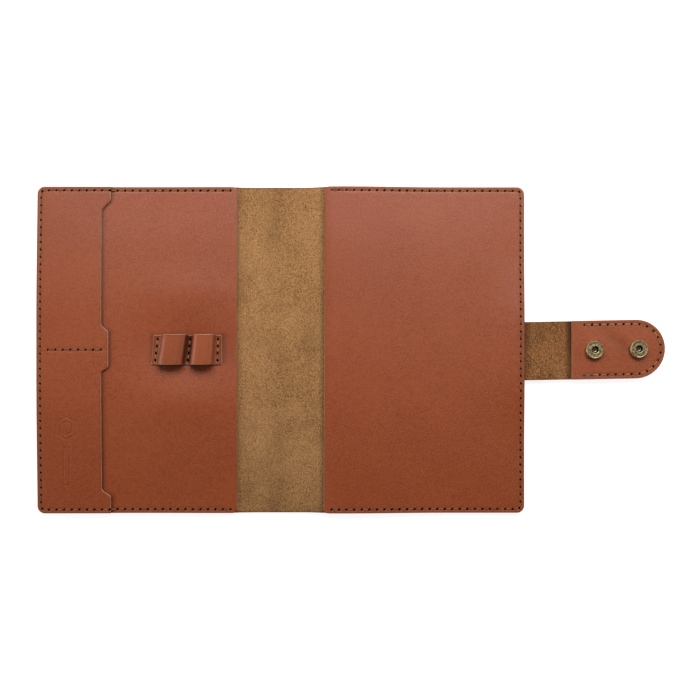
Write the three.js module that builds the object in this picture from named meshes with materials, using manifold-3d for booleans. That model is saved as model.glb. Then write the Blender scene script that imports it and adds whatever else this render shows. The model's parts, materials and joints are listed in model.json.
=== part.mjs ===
// Leather notebook cover with a snap strap, lying open and flat with its inside up.
//
// Millimetres. +X runs from the spine to the strap, +Y along the spine, +Z up. The origin is the centre
// of the spine on the surface that the cover lies on. The outer leather and the strap are each one piece of
// leather, held here as one solid for each stretch between two folds. The front cover rests on its snap
// studs, so it is a group turned about the front fold by REST_TILT.

import * as THREE from 'three';
import { mergeVertices } from 'three/addons/utils/BufferGeometryUtils.js';
import Module from 'manifold-3d';

const wasm = await Module();
wasm.setup();

// ---- Driving dimensions ----

const HALF_WIDTH = 164;            // spine centre to a cover's outer edge
const HALF_HEIGHT = 110;
const CORNER = 5;                  // outer corners of the covers
const FLAP_CORNER = 3;             // corners of a flap at its free edge
const FOLD_X = 12;                 // the two folds of the spine, at -FOLD_X and FOLD_X
const GAP = 0.3;                   // between neighbouring pieces

const OUTER_THICK = 2.0;           // outer leather
const FLAP_THICK = 1.6;
const POCKET_THICK = 1.4;
const FLAP_BASE = OUTER_THICK + GAP;
const FRONT_FLAP_EDGE = -30;       // free edges, where the notebook's boards slide in
const BACK_FLAP_EDGE = 29;
const POCKET_ROOM = 0.6;           // how far a flap stands away from the outer leather inside its seam
const ROOM_START = 5;              // distance from the sewn edge where it begins to stand away
const ROOM_FULL = 11;              // and where it stands away fully

const TAB_X = -115;                // free edge of the card pocket at its top and bottom tabs
const MIDDLE_TAB_X = -116;
const SLOT_X = -121;               // and in the two recesses for the cards
const POCKET_STEPS = [             // where the free edge moves to a new x, from the bottom up
  { x: SLOT_X, fromY: -99, toY: -93 },
  { x: MIDDLE_TAB_X, fromY: -16, toY: -10.5 },
  { x: SLOT_X, fromY: 11.5, toY: 17.5 },
  { x: TAB_X, fromY: 93, toY: 102 },
];
const DIVIDER_Y = 0.3;

const LOOP_STRIP = { left: -87, right: -39.6, top: 10.5, bottom: -9.5, thick: 1.3 };
const LOOPS = [{ centre: -73, halfWidth: 8.5 }, { centre: -52.6, halfWidth: 7.7 }];
const LOOP_HEIGHT = 9;             // above the underside of the strip
const LOOP_POWER = 2.5;            // of the superellipse that a loop follows
const LOOP_SEAMS = { left: -83.8, middle: -62.4, right: -42.6 };

const STRAP_HALF = 19.7;
const STRAP_THICK = 2.0;
const STRAP_ANCHOR_X = 138;        // inner end of the strap, between the back cover and its flap
const STRAP_ROOT_X = HALF_WIDTH + 1;
const STRAP_TIP_X = 258.4;
const STRAP_BASE = OUTER_THICK + GAP;
const STRAP_TOP = STRAP_BASE + STRAP_THICK;
const LINING_START = 195.7;
const LINING_THICK = 1.4;
const LINING_TOP = STRAP_TOP + GAP + LINING_THICK;
const HUMP_RAMP = 8;               // how far the back flap takes to climb over the strap

const SNAP_SPACING = 29.6;
const NEAR_SOCKET_X = 210.5;
const SOCKET = { radius: 6.05, height: 3.3, base: 0.5, mouth: 2.5, wall: 0.5, baseHole: 2.0, foot: 0.5 };
const CAP = {
  radius: 7.5, height: STRAP_BASE - GAP, post: 1.7, bore: 1.2, boreStart: 3, curl: 2.4, curlHeight: 0.4,
};
const SPRING = { inner: 2.15, wire: 0.5, opening: Math.PI / 5 };
const STUD = {
  radius: 6, flange: 0.6, head: 2.35, neck: 1.95, headHeight: 2.1, fillet: 0.4,
  bore: 1.6, hole: 0.9, wall: 0.3,
};
const EYELET = { radius: 5, flange: 0.4, tube: 1.3, bore: 0.9, lip: 1.5, lipHeight: 0.3, inStud: 1.3 };
const ROUND_SIDES = 20;            // of a turned piece and of the holes for it
const CORNER_STEPS = 6;            // of a rounded corner
const STRAP_END_STEPS = 16;        // of the strap's round end

const SEAM_MARGIN = 2.6;           // thread to the cut edge
const STRAP_SEAM_MARGIN = 2.8;
const THREAD = { width: 0.8, height: 0.5, pegRadius: 0.35, holeRadius: 0.65, sides: 8 };
const FRONT_SEAM_END = -34;
const BACK_SEAM_END = 33.7;
const STRAP_SEAM_START = 204;
const DIVIDER_SEAM = { from: -156.3, to: -120.9 };
const LOOP_SEAM_HALF = 7.5;

// ---- What follows from them ----

const FACE_CLEARANCE = 0.1;        // between metal faces that meet

// When the cover is closed, the sockets' faces meet the studs' flanges, which sets the strap's second fold.
const CLOSED_OUTER_FACE = 2 * FOLD_X + 2 * OUTER_THICK;
const CLOSED_SOCKET_FACE = CLOSED_OUTER_FACE + GAP + STUD.flange + FACE_CLEARANCE;
const SOCKET_STACK = LINING_TOP - STRAP_TOP + GAP + SOCKET.height;
const STRAP_END_FOLD_X = STRAP_ROOT_X + CLOSED_SOCKET_FACE + SOCKET_STACK - STRAP_TOP;

const SOCKETS = { near: NEAR_SOCKET_X, tip: NEAR_SOCKET_X + SNAP_SPACING };
const STUDS = Object.fromEntries(
  Object.entries(SOCKETS).map(([snap, x]) => [snap, x - STRAP_END_FOLD_X - STRAP_ROOT_X]),
);

// The lower rim of the stud nearer to the spine touches the surface that the cover lies on.
const STUD_DEPTH = GAP + STUD.flange + STUD.headHeight;
const REST_ARM = -STUDS.tip - FOLD_X - STUD.head;
const REST_DROP = OUTER_THICK + STUD_DEPTH;
const REST_REACH = Math.hypot(REST_DROP, REST_ARM);
const REST_TILT = Math.atan2(REST_DROP, REST_ARM) - Math.asin(OUTER_THICK / REST_REACH);

// ---- Materials ----

const smoothLeather = new THREE.MeshStandardMaterial({ color: 0x96553a, roughness: 0.5, metalness: 0 });
const suedeLeather = new THREE.MeshStandardMaterial({ color: 0x9a6e45, roughness: 0.95, metalness: 0 });
const threadMaterial = new THREE.MeshStandardMaterial({ color: 0x5d4430, roughness: 0.6, metalness: 0 });
const antiqueBrass = new THREE.MeshStandardMaterial({ color: 0x8d7d52, roughness: 0.35, metalness: 1 });
const springBrass = new THREE.MeshStandardMaterial({ color: 0xb09a5c, roughness: 0.3, metalness: 1 });

// ---- Solids ----

const MERGE_DISTANCE = 1e-4;

function solidOf(geometry) {
  const bare = geometry.clone();
  bare.deleteAttribute('normal');
  bare.deleteAttribute('uv');
  const merged = mergeVertices(bare, MERGE_DISTANCE);
  return new wasm.Manifold(new wasm.Mesh({
    numProp: 3,
    vertProperties: new Float32Array(merged.attributes.position.array),
    triVerts: new Uint32Array(merged.index.array),
  }));
}

function geometryOf(solid) {
  const mesh = solid.getMesh();
  const geometry = new THREE.BufferGeometry();
  geometry.setAttribute('position', new THREE.BufferAttribute(mesh.vertProperties, 3));
  geometry.setIndex(new THREE.BufferAttribute(mesh.triVerts, 1));
  return geometry;
}

function drill(solid, tools) {
  return tools.reduce((left, tool) => left.subtract(tool), solid);
}

function prism(shape, low, high, curveSegments = CORNER_STEPS) {
  const depth = high - low;
  const geometry = new THREE.ExtrudeGeometry(shape, { depth, bevelEnabled: false, curveSegments });
  geometry.translate(0, 0, low);
  return solidOf(geometry);
}

function rod(x, y, radius, low, high, sides) {
  const geometry = new THREE.CylinderGeometry(radius, radius, high - low, sides);
  geometry.rotateX(Math.PI / 2);
  geometry.translate(x, y, (low + high) / 2);
  return solidOf(geometry);
}

// A sheet of even thickness over the height field underside(x, y), which bends only on the grid's lines.
function drapedSheet(xs, ys, underside, thick) {
  const count = xs.length * ys.length;
  const positions = [];
  for (const lift of [0, thick]) {
    for (const y of ys) {
      for (const x of xs) positions.push(x, y, underside(x, y) + lift);
    }
  }
  const index = [];
  const at = ([column, row, layer]) => layer * count + row * xs.length + column;
  const quad = (...corners) => {
    const [a, b, c, d] = corners.map(at);
    index.push(a, b, c, a, c, d);
  };
  const right = xs.length - 1;
  const back = ys.length - 1;
  for (let row = 0; row < back; row += 1) {
    for (let column = 0; column < right; column += 1) {
      quad([column, row, 1], [column + 1, row, 1], [column + 1, row + 1, 1], [column, row + 1, 1]);
      quad([column, row, 0], [column, row + 1, 0], [column + 1, row + 1, 0], [column + 1, row, 0]);
    }
  }
  for (let column = 0; column < right; column += 1) {
    quad([column, 0, 0], [column + 1, 0, 0], [column + 1, 0, 1], [column, 0, 1]);
    quad([column + 1, back, 0], [column, back, 0], [column, back, 1], [column + 1, back, 1]);
  }
  for (let row = 0; row < back; row += 1) {
    quad([0, row + 1, 0], [0, row, 0], [0, row, 1], [0, row + 1, 1]);
    quad([right, row, 0], [right, row + 1, 0], [right, row + 1, 1], [right, row, 1]);
  }
  const geometry = new THREE.BufferGeometry();
  geometry.setAttribute('position', new THREE.Float32BufferAttribute(positions, 3));
  geometry.setIndex(index);
  return solidOf(geometry);
}

const SKY = 60;                    // height of the prisms that trim a draped sheet to its outline

function trimmedSheet(shape, xs, ys, underside, thick) {
  return drapedSheet(xs, ys, underside, thick).intersect(prism(shape, -SKY, SKY));
}

// ---- Outlines ----

function panelOutline(left, right, halfHeight, leftCorner, rightCorner) {
  const shape = new THREE.Shape();
  const arc = (x, y, radius, from, to) => {
    if (radius > 0) shape.absarc(x, y, radius, from, to, false);
    else shape.lineTo(x, y);
  };
  shape.moveTo(left + leftCorner, -halfHeight);
  arc(right - rightCorner, -halfHeight + rightCorner, rightCorner, -Math.PI / 2, 0);
  arc(right - rightCorner, halfHeight - rightCorner, rightCorner, 0, Math.PI / 2);
  arc(left + leftCorner, halfHeight - leftCorner, leftCorner, Math.PI / 2, Math.PI);
  arc(left + leftCorner, -halfHeight + leftCorner, leftCorner, Math.PI, Math.PI * 1.5);
  return shape;
}

// The outer edge of a cover is at -HALF_WIDTH; side 1 mirrors the outline to the back cover.
function mirrored(shape, side) {
  if (side < 0) return shape;
  const points = shape.getPoints(CORNER_STEPS).map((point) => new THREE.Vector2(-point.x, point.y));
  return new THREE.Shape(points.reverse());
}

function cardPocketOutline() {
  const top = HALF_HEIGHT;
  const shape = new THREE.Shape();
  shape.moveTo(-HALF_WIDTH + CORNER, -top);
  shape.lineTo(TAB_X, -top);
  for (const { x, fromY, toY } of POCKET_STEPS) {
    const before = shape.currentPoint.x;
    const middleY = (fromY + toY) / 2;
    shape.lineTo(before, fromY);
    shape.bezierCurveTo(before, middleY, x, middleY, x, toY);
  }
  shape.lineTo(TAB_X, top);
  shape.absarc(-HALF_WIDTH + CORNER, top - CORNER, CORNER, Math.PI / 2, Math.PI, false);
  shape.absarc(-HALF_WIDTH + CORNER, CORNER - top, CORNER, Math.PI, Math.PI * 1.5, false);
  return shape;
}

function strapOutline(start, tip, half) {
  const shape = new THREE.Shape();
  shape.absarc(tip - half, 0, half, -Math.PI / 2, Math.PI / 2, false);
  shape.lineTo(start, half);
  shape.lineTo(start, -half);
  return shape;
}

// A band of the thread's width that follows a panel's three sewn edges and ends at seamEnd.
function edgeSeamBand(seamEnd) {
  const shape = new THREE.Shape();
  const side = Math.sign(seamEnd);
  const end = -Math.abs(seamEnd);
  const outer = SEAM_MARGIN - THREAD.width / 2;
  const inner = SEAM_MARGIN + THREAD.width / 2;
  const centreX = -HALF_WIDTH + CORNER;
  const centreY = HALF_HEIGHT - CORNER;
  shape.absarc(centreX, centreY, CORNER - outer, Math.PI / 2, Math.PI, false);
  shape.absarc(centreX, -centreY, CORNER - outer, Math.PI, Math.PI * 1.5, false);
  shape.lineTo(end, -HALF_HEIGHT + outer);
  shape.lineTo(end, -HALF_HEIGHT + inner);
  shape.absarc(centreX, -centreY, CORNER - inner, Math.PI * 1.5, Math.PI, true);
  shape.absarc(centreX, centreY, CORNER - inner, Math.PI, Math.PI / 2, true);
  shape.lineTo(end, HALF_HEIGHT - inner);
  shape.lineTo(end, HALF_HEIGHT - outer);
  return mirrored(shape, side);
}

function strapSeamBand() {
  const outer = STRAP_HALF - STRAP_SEAM_MARGIN + THREAD.width / 2;
  const inner = outer - THREAD.width;
  const centreX = STRAP_TIP_X - STRAP_HALF;
  const shape = new THREE.Shape();
  shape.absarc(centreX, 0, outer, -Math.PI / 2, Math.PI / 2, false);
  shape.lineTo(STRAP_SEAM_START, outer);
  shape.lineTo(STRAP_SEAM_START, inner);
  shape.absarc(centreX, 0, inner, Math.PI / 2, -Math.PI / 2, true);
  shape.lineTo(STRAP_SEAM_START, -inner);
  shape.lineTo(STRAP_SEAM_START, -outer);
  return shape;
}

// ---- Height fields of the flaps ----

const ramp = (value, from, to) => THREE.MathUtils.clamp((value - from) / (to - from), 0, 1);

function flapUnderside(x, y) {
  const fromSewnEdge = Math.min(HALF_HEIGHT - Math.abs(y), HALF_WIDTH - Math.abs(x));
  return FLAP_BASE + POCKET_ROOM * ramp(fromSewnEdge, ROOM_START, ROOM_FULL);
}

function backFlapUnderside(x, y) {
  const over = ramp(x, STRAP_ANCHOR_X - GAP - HUMP_RAMP, STRAP_ANCHOR_X - GAP);
  const across = ramp(Math.abs(y), STRAP_HALF + GAP + HUMP_RAMP, STRAP_HALF + GAP);
  return Math.max(flapUnderside(x, y), FLAP_BASE + (STRAP_THICK + GAP) * Math.min(over, across));
}

const POCKET_EDGE_RAMP = 2.4;      // how far the front seam's thread takes to come down from the card pocket

function frontSeamUnderside(x, y) {
  const onPocket = ramp(x, TAB_X + GAP + POCKET_EDGE_RAMP, TAB_X + GAP);
  return flapUnderside(x, y) + FLAP_THICK + GAP + (POCKET_THICK + GAP) * onPocket;
}

const symmetric = (values) => [...values.map((value) => -value), ...values.toReversed()];
const EDGE_ROWS = [HALF_HEIGHT, HALF_HEIGHT - ROOM_START, HALF_HEIGHT - ROOM_FULL];
const EDGE_COLUMNS = [HALF_WIDTH, HALF_WIDTH - ROOM_START, HALF_WIDTH - ROOM_FULL];
const ROWS = symmetric(EDGE_ROWS);
const BACK_ROWS = symmetric([...EDGE_ROWS, STRAP_HALF + GAP + HUMP_RAMP, STRAP_HALF + GAP]);
const FRONT_COLUMNS = [...EDGE_COLUMNS.map((x) => -x), TAB_X + GAP, TAB_X + GAP + POCKET_EDGE_RAMP];
const BACK_COLUMNS = [
  STRAP_ANCHOR_X - GAP - HUMP_RAMP, STRAP_ANCHOR_X - GAP, ...EDGE_COLUMNS.toReversed(),
];

// ---- Leather pieces ----

const seamHole = (x, y) => rod(x, y, THREAD.holeRadius, -SKY, SKY, THREAD.sides);
const seamY = HALF_HEIGHT - SEAM_MARGIN;
const edgeHoles = (x) => [seamHole(x, seamY), seamHole(x, -seamY)];
const frontEdgeHoles = () => edgeHoles(FRONT_SEAM_END - THREAD.width);
const backEdgeHoles = () => edgeHoles(BACK_SEAM_END + THREAD.width);
const dividerHoles = () => Object.values(DIVIDER_SEAM).map((x) => seamHole(x, DIVIDER_Y));
const loopMiddleY = (LOOP_STRIP.top + LOOP_STRIP.bottom) / 2;
const loopHoles = () => Object.values(LOOP_SEAMS).flatMap((x) => [
  seamHole(x, loopMiddleY + LOOP_SEAM_HALF),
  seamHole(x, loopMiddleY - LOOP_SEAM_HALF),
]);

function frontCoverLeather() {
  const outline = panelOutline(-HALF_WIDTH, -FOLD_X - GAP / 2, HALF_HEIGHT, CORNER, 0);
  const studHoles = Object.values(STUDS).map((x) => (
    rod(x, 0, EYELET.tube + GAP, -SKY, SKY, ROUND_SIDES)
  ));
  return drill(prism(outline, 0, OUTER_THICK), [...studHoles, ...frontEdgeHoles()]);
}

function spineLeather() {
  const half = FOLD_X - GAP / 2;
  return prism(panelOutline(-half, half, HALF_HEIGHT, 0, 0), 0, OUTER_THICK);
}

function backCoverLeather() {
  const outline = panelOutline(FOLD_X + GAP / 2, HALF_WIDTH, HALF_HEIGHT, 0, CORNER);
  return drill(prism(outline, 0, OUTER_THICK), backEdgeHoles());
}

function frontFlap() {
  const outline = panelOutline(-HALF_WIDTH, FRONT_FLAP_EDGE, HALF_HEIGHT, CORNER, FLAP_CORNER);
  const columns = [...FRONT_COLUMNS, FRONT_FLAP_EDGE];
  const sheet = trimmedSheet(outline, columns, ROWS, flapUnderside, FLAP_THICK);
  return drill(sheet, [...frontEdgeHoles(), ...dividerHoles(), ...loopHoles()]);
}

function cardPocket() {
  const underside = (x, y) => flapUnderside(x, y) + FLAP_THICK + GAP;
  const sheet = trimmedSheet(cardPocketOutline(), FRONT_COLUMNS, ROWS, underside, POCKET_THICK);
  return drill(sheet, dividerHoles());
}

function backFlap() {
  const outline = panelOutline(BACK_FLAP_EDGE, HALF_WIDTH, HALF_HEIGHT, FLAP_CORNER, CORNER);
  const columns = [BACK_FLAP_EDGE, ...BACK_COLUMNS];
  return drill(trimmedSheet(outline, columns, BACK_ROWS, backFlapUnderside, FLAP_THICK), backEdgeHoles());
}

const LOOP_BASE = FLAP_BASE + POCKET_ROOM + FLAP_THICK + GAP;
const LOOP_STEPS = 12;

function loopArch({ centre, halfWidth }, inset, leftToRight) {
  const power = 2 / LOOP_POWER;
  return Array.from({ length: LOOP_STEPS + 1 }, (_, step) => {
    const turn = Math.PI * (leftToRight ? 1 - step / LOOP_STEPS : step / LOOP_STEPS);
    const across = Math.sign(Math.cos(turn)) * Math.abs(Math.cos(turn)) ** power;
    const up = Math.abs(Math.sin(turn)) ** power;
    const foot = inset > 0 ? 0 : LOOP_STRIP.thick;
    return new THREE.Vector2(
      centre + (halfWidth - inset) * across,
      Math.max(foot, (LOOP_HEIGHT - inset) * up),
    );
  });
}

function penLoops() {
  const { left, right, top, bottom, thick } = LOOP_STRIP;
  const points = [
    new THREE.Vector2(left, 0),
    ...LOOPS.flatMap((loop) => loopArch(loop, thick, true)),
    new THREE.Vector2(right, 0),
    new THREE.Vector2(right, thick),
    ...LOOPS.toReversed().flatMap((loop) => loopArch(loop, 0, false)),
    new THREE.Vector2(left, thick),
  ];
  const settings = { depth: top - bottom, bevelEnabled: false };
  const geometry = new THREE.ExtrudeGeometry(new THREE.Shape(points), settings);
  geometry.rotateX(Math.PI / 2);
  geometry.translate(0, top, LOOP_BASE);
  return drill(solidOf(geometry), loopHoles());
}

function strapAnchor() {
  const outline = panelOutline(STRAP_ANCHOR_X, STRAP_ROOT_X - GAP / 2, STRAP_HALF, 0, 0);
  return prism(outline, STRAP_BASE, STRAP_TOP);
}

function strapBridge() {
  const outline = panelOutline(STRAP_ROOT_X + GAP / 2, STRAP_END_FOLD_X - GAP / 2, STRAP_HALF, 0, 0);
  return prism(outline, STRAP_BASE, STRAP_TOP);
}

const postHoles = () => Object.values(SOCKETS).map((x) => (
  rod(x, 0, CAP.post + GAP, -SKY, SKY, ROUND_SIDES)
));
const strapSeamHoles = () => [1, -1].map((side) => (
  seamHole(STRAP_SEAM_START + THREAD.width, side * (STRAP_HALF - STRAP_SEAM_MARGIN))
));

function strapEnd() {
  const outline = strapOutline(STRAP_END_FOLD_X + GAP / 2, STRAP_TIP_X, STRAP_HALF);
  return drill(prism(outline, STRAP_BASE, STRAP_TOP, STRAP_END_STEPS), [...postHoles(), ...strapSeamHoles()]);
}

function strapLining() {
  const outline = strapOutline(LINING_START, STRAP_TIP_X, STRAP_HALF);
  const sheet = prism(outline, STRAP_TOP + GAP, LINING_TOP, STRAP_END_STEPS);
  return drill(sheet, [...postHoles(), ...strapSeamHoles()]);
}

// ---- Snap fasteners, turned about their own axis, with the face of the leather at height 0 ----

function lathe(points) {
  const profile = points.map(([radius, height]) => new THREE.Vector2(radius, height));
  return new THREE.LatheGeometry(profile, ROUND_SIDES).rotateX(Math.PI / 2);
}

const ring = (points) => lathe([...points, points[0]]);

function snapCap() {
  const { radius, height, post, bore, boreStart, curl, curlHeight } = CAP;
  const curlLow = LINING_TOP + GAP + SOCKET.base + FACE_CLEARANCE;
  return lathe([
    [0, 0], [0.55 * radius, 0.15 * height], [0.88 * radius, 0.5 * height], [radius, 0.85 * height],
    [0.97 * radius, height], [post, height], [post, curlLow], [curl, curlLow],
    [curl, curlLow + curlHeight], [bore, curlLow + curlHeight], [bore, boreStart], [0, boreStart],
  ]);
}

function snapSocket() {
  const { radius, height, base, mouth, wall, baseHole, foot } = SOCKET;
  return ring([
    [baseHole, 0], [0.9 * radius, 0], [radius, foot], [radius, 0.55 * height],
    [0.88 * radius, 0.88 * height], [0.74 * radius, height], [mouth, height], [mouth, height - wall],
    [0.7 * radius, height - wall],
    [0.88 * radius - wall, 0.88 * height - wall], [radius - wall, 0.5 * height], [radius - wall, base],
    [baseHole, base],
  ]);
}

function snapSpring() {
  const { inner, wire, opening } = SPRING;
  const section = new THREE.Shape();
  section.absellipse(0, 0, wire / 2, wire / 2, 0, Math.PI * 2, false);
  const circle = new THREE.EllipseCurve(
    0, 0, inner + wire / 2, inner + wire / 2, opening / 2, Math.PI * 2 - opening / 2, false,
  );
  const path = new THREE.CatmullRomCurve3(
    circle.getPoints(ROUND_SIDES).map((point) => new THREE.Vector3(point.x, point.y, 0)),
  );
  return new THREE.ExtrudeGeometry(section, { steps: ROUND_SIDES, extrudePath: path, curveSegments: 3 });
}

function snapStud() {
  const { radius, flange, head, neck, headHeight, fillet, bore, hole, wall } = STUD;
  const end = -flange - headHeight;
  const eyeletHole = EYELET.tube + GAP / 2;
  return ring([
    [hole, end], [0.8 * head, end], [head, end + 0.2 * headHeight], [head, end + 0.35 * headHeight],
    [neck, end + 0.5 * headHeight], [neck, -flange - fillet], [neck + fillet, -flange],
    [0.93 * radius, -flange], [radius, -flange / 2], [radius, 0],
    [eyeletHole, 0], [eyeletHole, -flange / 2], [bore, -flange / 2], [bore, end + wall], [hole, end + wall],
  ]);
}

function snapEyelet() {
  const { radius, flange, tube, bore, lip, lipHeight, inStud } = EYELET;
  const end = -OUTER_THICK - 2 * GAP - inStud;
  return ring([
    [bore, end], [lip, end], [lip, end + lipHeight], [tube, end + lipHeight], [tube, 0], [0.94 * radius, 0],
    [radius, flange / 2], [0.9 * radius, flange], [1.6 * bore, flange], [bore, 0.4 * flange],
  ]);
}

// ---- Threads: the run on the inside of the cover, and a peg down through the leather at each end ----

function withPegs(run, places, low, underside) {
  return places.reduce((joined, [x, y]) => {
    const high = underside(x, y) + THREAD.height / 2;
    return joined.add(rod(x, y, THREAD.pegRadius, low, high, THREAD.sides));
  }, run);
}

function threadFrontEdge() {
  const columns = [...FRONT_COLUMNS, FRONT_SEAM_END];
  const band = edgeSeamBand(FRONT_SEAM_END);
  const run = trimmedSheet(band, columns, ROWS, frontSeamUnderside, THREAD.height);
  const x = FRONT_SEAM_END - THREAD.width;
  return withPegs(run, [[x, seamY], [x, -seamY]], GAP, frontSeamUnderside);
}

function threadBackEdge() {
  const columns = [BACK_SEAM_END, ...BACK_COLUMNS];
  const underside = (x, y) => backFlapUnderside(x, y) + FLAP_THICK + GAP;
  const run = trimmedSheet(edgeSeamBand(BACK_SEAM_END), columns, BACK_ROWS, underside, THREAD.height);
  const x = BACK_SEAM_END + THREAD.width;
  return withPegs(run, [[x, seamY], [x, -seamY]], GAP, underside);
}

function straightSeam(fromX, toX, fromY, toY) {
  const reach = THREAD.width / 2;
  return new THREE.Shape([
    new THREE.Vector2(fromX - reach, fromY - reach),
    new THREE.Vector2(toX + reach, fromY - reach),
    new THREE.Vector2(toX + reach, toY + reach),
    new THREE.Vector2(fromX - reach, toY + reach),
  ]);
}

function threadCardDivider() {
  const shape = straightSeam(DIVIDER_SEAM.from, DIVIDER_SEAM.to, DIVIDER_Y, DIVIDER_Y);
  const underside = (x, y) => flapUnderside(x, y) + FLAP_THICK + POCKET_THICK + 2 * GAP;
  const run = trimmedSheet(shape, FRONT_COLUMNS, ROWS, underside, THREAD.height);
  const places = Object.values(DIVIDER_SEAM).map((x) => [x, DIVIDER_Y]);
  return withPegs(run, places, FLAP_BASE + POCKET_ROOM, underside);
}

function threadPenLoop(x) {
  const low = LOOP_BASE + LOOP_STRIP.thick + GAP;
  const ends = [loopMiddleY - LOOP_SEAM_HALF, loopMiddleY + LOOP_SEAM_HALF];
  const run = prism(straightSeam(x, x, ...ends), low, low + THREAD.height);
  return withPegs(run, ends.map((y) => [x, y]), FLAP_BASE + POCKET_ROOM, () => low);
}

function threadStrapEnd() {
  const low = LINING_TOP + GAP;
  const run = prism(strapSeamBand(), low, low + THREAD.height, STRAP_END_STEPS);
  const y = STRAP_HALF - STRAP_SEAM_MARGIN;
  const x = STRAP_SEAM_START + THREAD.width;
  return withPegs(run, [[x, y], [x, -y]], STRAP_BASE, () => low);
}

// ---- Assembly ----

function place(parent, name, shape, material, position = [0, 0, 0]) {
  const geometry = shape.isBufferGeometry ? shape : geometryOf(shape);
  const mesh = new THREE.Mesh(geometry, material);
  mesh.name = name;
  mesh.position.set(...position);
  parent.add(mesh);
}

// A group turned about the front fold, whose contents keep the coordinates of the flat cover.
function frontCoverGroup() {
  const fold = new THREE.Group();
  fold.position.set(-FOLD_X, 0, OUTER_THICK);
  fold.rotation.y = REST_TILT;
  const contents = new THREE.Group();
  contents.position.set(FOLD_X, 0, -OUTER_THICK);
  fold.add(contents);
  place(contents, 'front_cover_leather', frontCoverLeather(), smoothLeather);
  place(contents, 'front_flap', frontFlap(), smoothLeather);
  place(contents, 'card_pocket', cardPocket(), smoothLeather);
  place(contents, 'pen_loops', penLoops(), smoothLeather);
  place(contents, 'thread_front_edge', threadFrontEdge(), threadMaterial);
  place(contents, 'thread_card_divider', threadCardDivider(), threadMaterial);
  for (const [side, x] of Object.entries(LOOP_SEAMS)) {
    place(contents, `thread_pen_loop_${side}`, threadPenLoop(x), threadMaterial);
  }
  for (const [snap, x] of Object.entries(STUDS)) {
    place(contents, `snap_stud_${snap}`, snapStud(), antiqueBrass, [x, 0, -GAP]);
    place(contents, `snap_eyelet_${snap}`, snapEyelet(), antiqueBrass, [x, 0, OUTER_THICK + GAP]);
  }
  return fold;
}

function backCoverGroup() {
  const group = new THREE.Group();
  place(group, 'back_cover_leather', backCoverLeather(), smoothLeather);
  place(group, 'back_flap', backFlap(), smoothLeather);
  place(group, 'strap_anchor', strapAnchor(), suedeLeather);
  place(group, 'thread_back_edge', threadBackEdge(), threadMaterial);
  return group;
}

function strapGroup() {
  const group = new THREE.Group();
  place(group, 'strap_bridge', strapBridge(), suedeLeather);
  place(group, 'strap_end', strapEnd(), suedeLeather);
  place(group, 'strap_lining', strapLining(), smoothLeather);
  place(group, 'thread_strap_end', threadStrapEnd(), threadMaterial);
  const socketBase = LINING_TOP + GAP;
  const springHeight = socketBase + SOCKET.height - SOCKET.wall - FACE_CLEARANCE - SPRING.wire / 2;
  for (const [snap, x] of Object.entries(SOCKETS)) {
    place(group, `snap_cap_${snap}`, snapCap(), antiqueBrass, [x, 0, 0]);
    place(group, `snap_socket_${snap}`, snapSocket(), antiqueBrass, [x, 0, socketBase]);
    place(group, `snap_spring_${snap}`, snapSpring(), springBrass, [x, 0, springHeight]);
  }
  return group;
}

const group = new THREE.Group();
place(group, 'spine_leather', spineLeather(), suedeLeather);
group.add(frontCoverGroup(), backCoverGroup(), strapGroup());

export default group;
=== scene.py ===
"""A leather notebook cover with a snap strap, lying open with its inside up.

Lengths are in millimetres until a mesh is made, and every piece is drawn in the coordinates of the flat
cover: x from the spine's centre line towards the strap, y along the spine, z up from the lowest surface.
Then it is brought to rest: the boards' gentle waves, the front board's tilt on its snap studs, and the
strap's small drift.
"""

import math

import bpy
import numpy as np
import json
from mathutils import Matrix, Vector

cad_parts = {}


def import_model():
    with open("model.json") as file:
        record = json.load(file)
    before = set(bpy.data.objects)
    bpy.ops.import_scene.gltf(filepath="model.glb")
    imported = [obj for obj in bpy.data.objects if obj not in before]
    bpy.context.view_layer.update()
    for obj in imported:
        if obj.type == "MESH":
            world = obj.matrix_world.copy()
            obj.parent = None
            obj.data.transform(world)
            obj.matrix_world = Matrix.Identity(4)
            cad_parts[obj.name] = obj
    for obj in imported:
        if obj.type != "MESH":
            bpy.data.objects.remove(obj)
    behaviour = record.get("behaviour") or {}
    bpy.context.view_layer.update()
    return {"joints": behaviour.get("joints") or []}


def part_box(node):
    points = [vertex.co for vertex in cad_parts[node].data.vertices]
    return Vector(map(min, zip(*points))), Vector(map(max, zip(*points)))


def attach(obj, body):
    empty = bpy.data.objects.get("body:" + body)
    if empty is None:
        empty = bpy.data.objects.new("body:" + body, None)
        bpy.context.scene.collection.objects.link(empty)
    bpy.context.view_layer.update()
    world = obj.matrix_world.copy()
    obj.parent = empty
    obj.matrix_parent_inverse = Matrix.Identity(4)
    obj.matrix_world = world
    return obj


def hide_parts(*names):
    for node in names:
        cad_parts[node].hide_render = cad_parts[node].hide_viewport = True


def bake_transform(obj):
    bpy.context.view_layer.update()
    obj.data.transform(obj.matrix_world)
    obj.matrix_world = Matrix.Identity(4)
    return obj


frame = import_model()

MM = 0.001
JOINTS = {joint["name"]: joint for joint in frame["joints"]}


def box_mm(node):
    """A CAD node's lowest and highest corner."""
    low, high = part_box(node)
    return np.array(low) / MM, np.array(high) / MM


# ---- Places taken from the frame ----

HALF_WIDTH, HALF_HEIGHT, OUTER_TOP = box_mm("back_cover_leather")[1]
FOLD_X, _, FOLD_Z = (value / MM for value in JOINTS["back_fold"]["pos_m"])
STRAP_ROOT_X, _, STRAP_FOLD_Z = (value / MM for value in JOINTS["strap_root_fold"]["pos_m"])
STRAP_END_FOLD_X = JOINTS["strap_end_fold"]["pos_m"][0] / MM
FRONT_TILT = math.asin((box_mm("front_cover_leather")[1][2] - FOLD_Z) / (HALF_WIDTH - FOLD_X))

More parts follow.
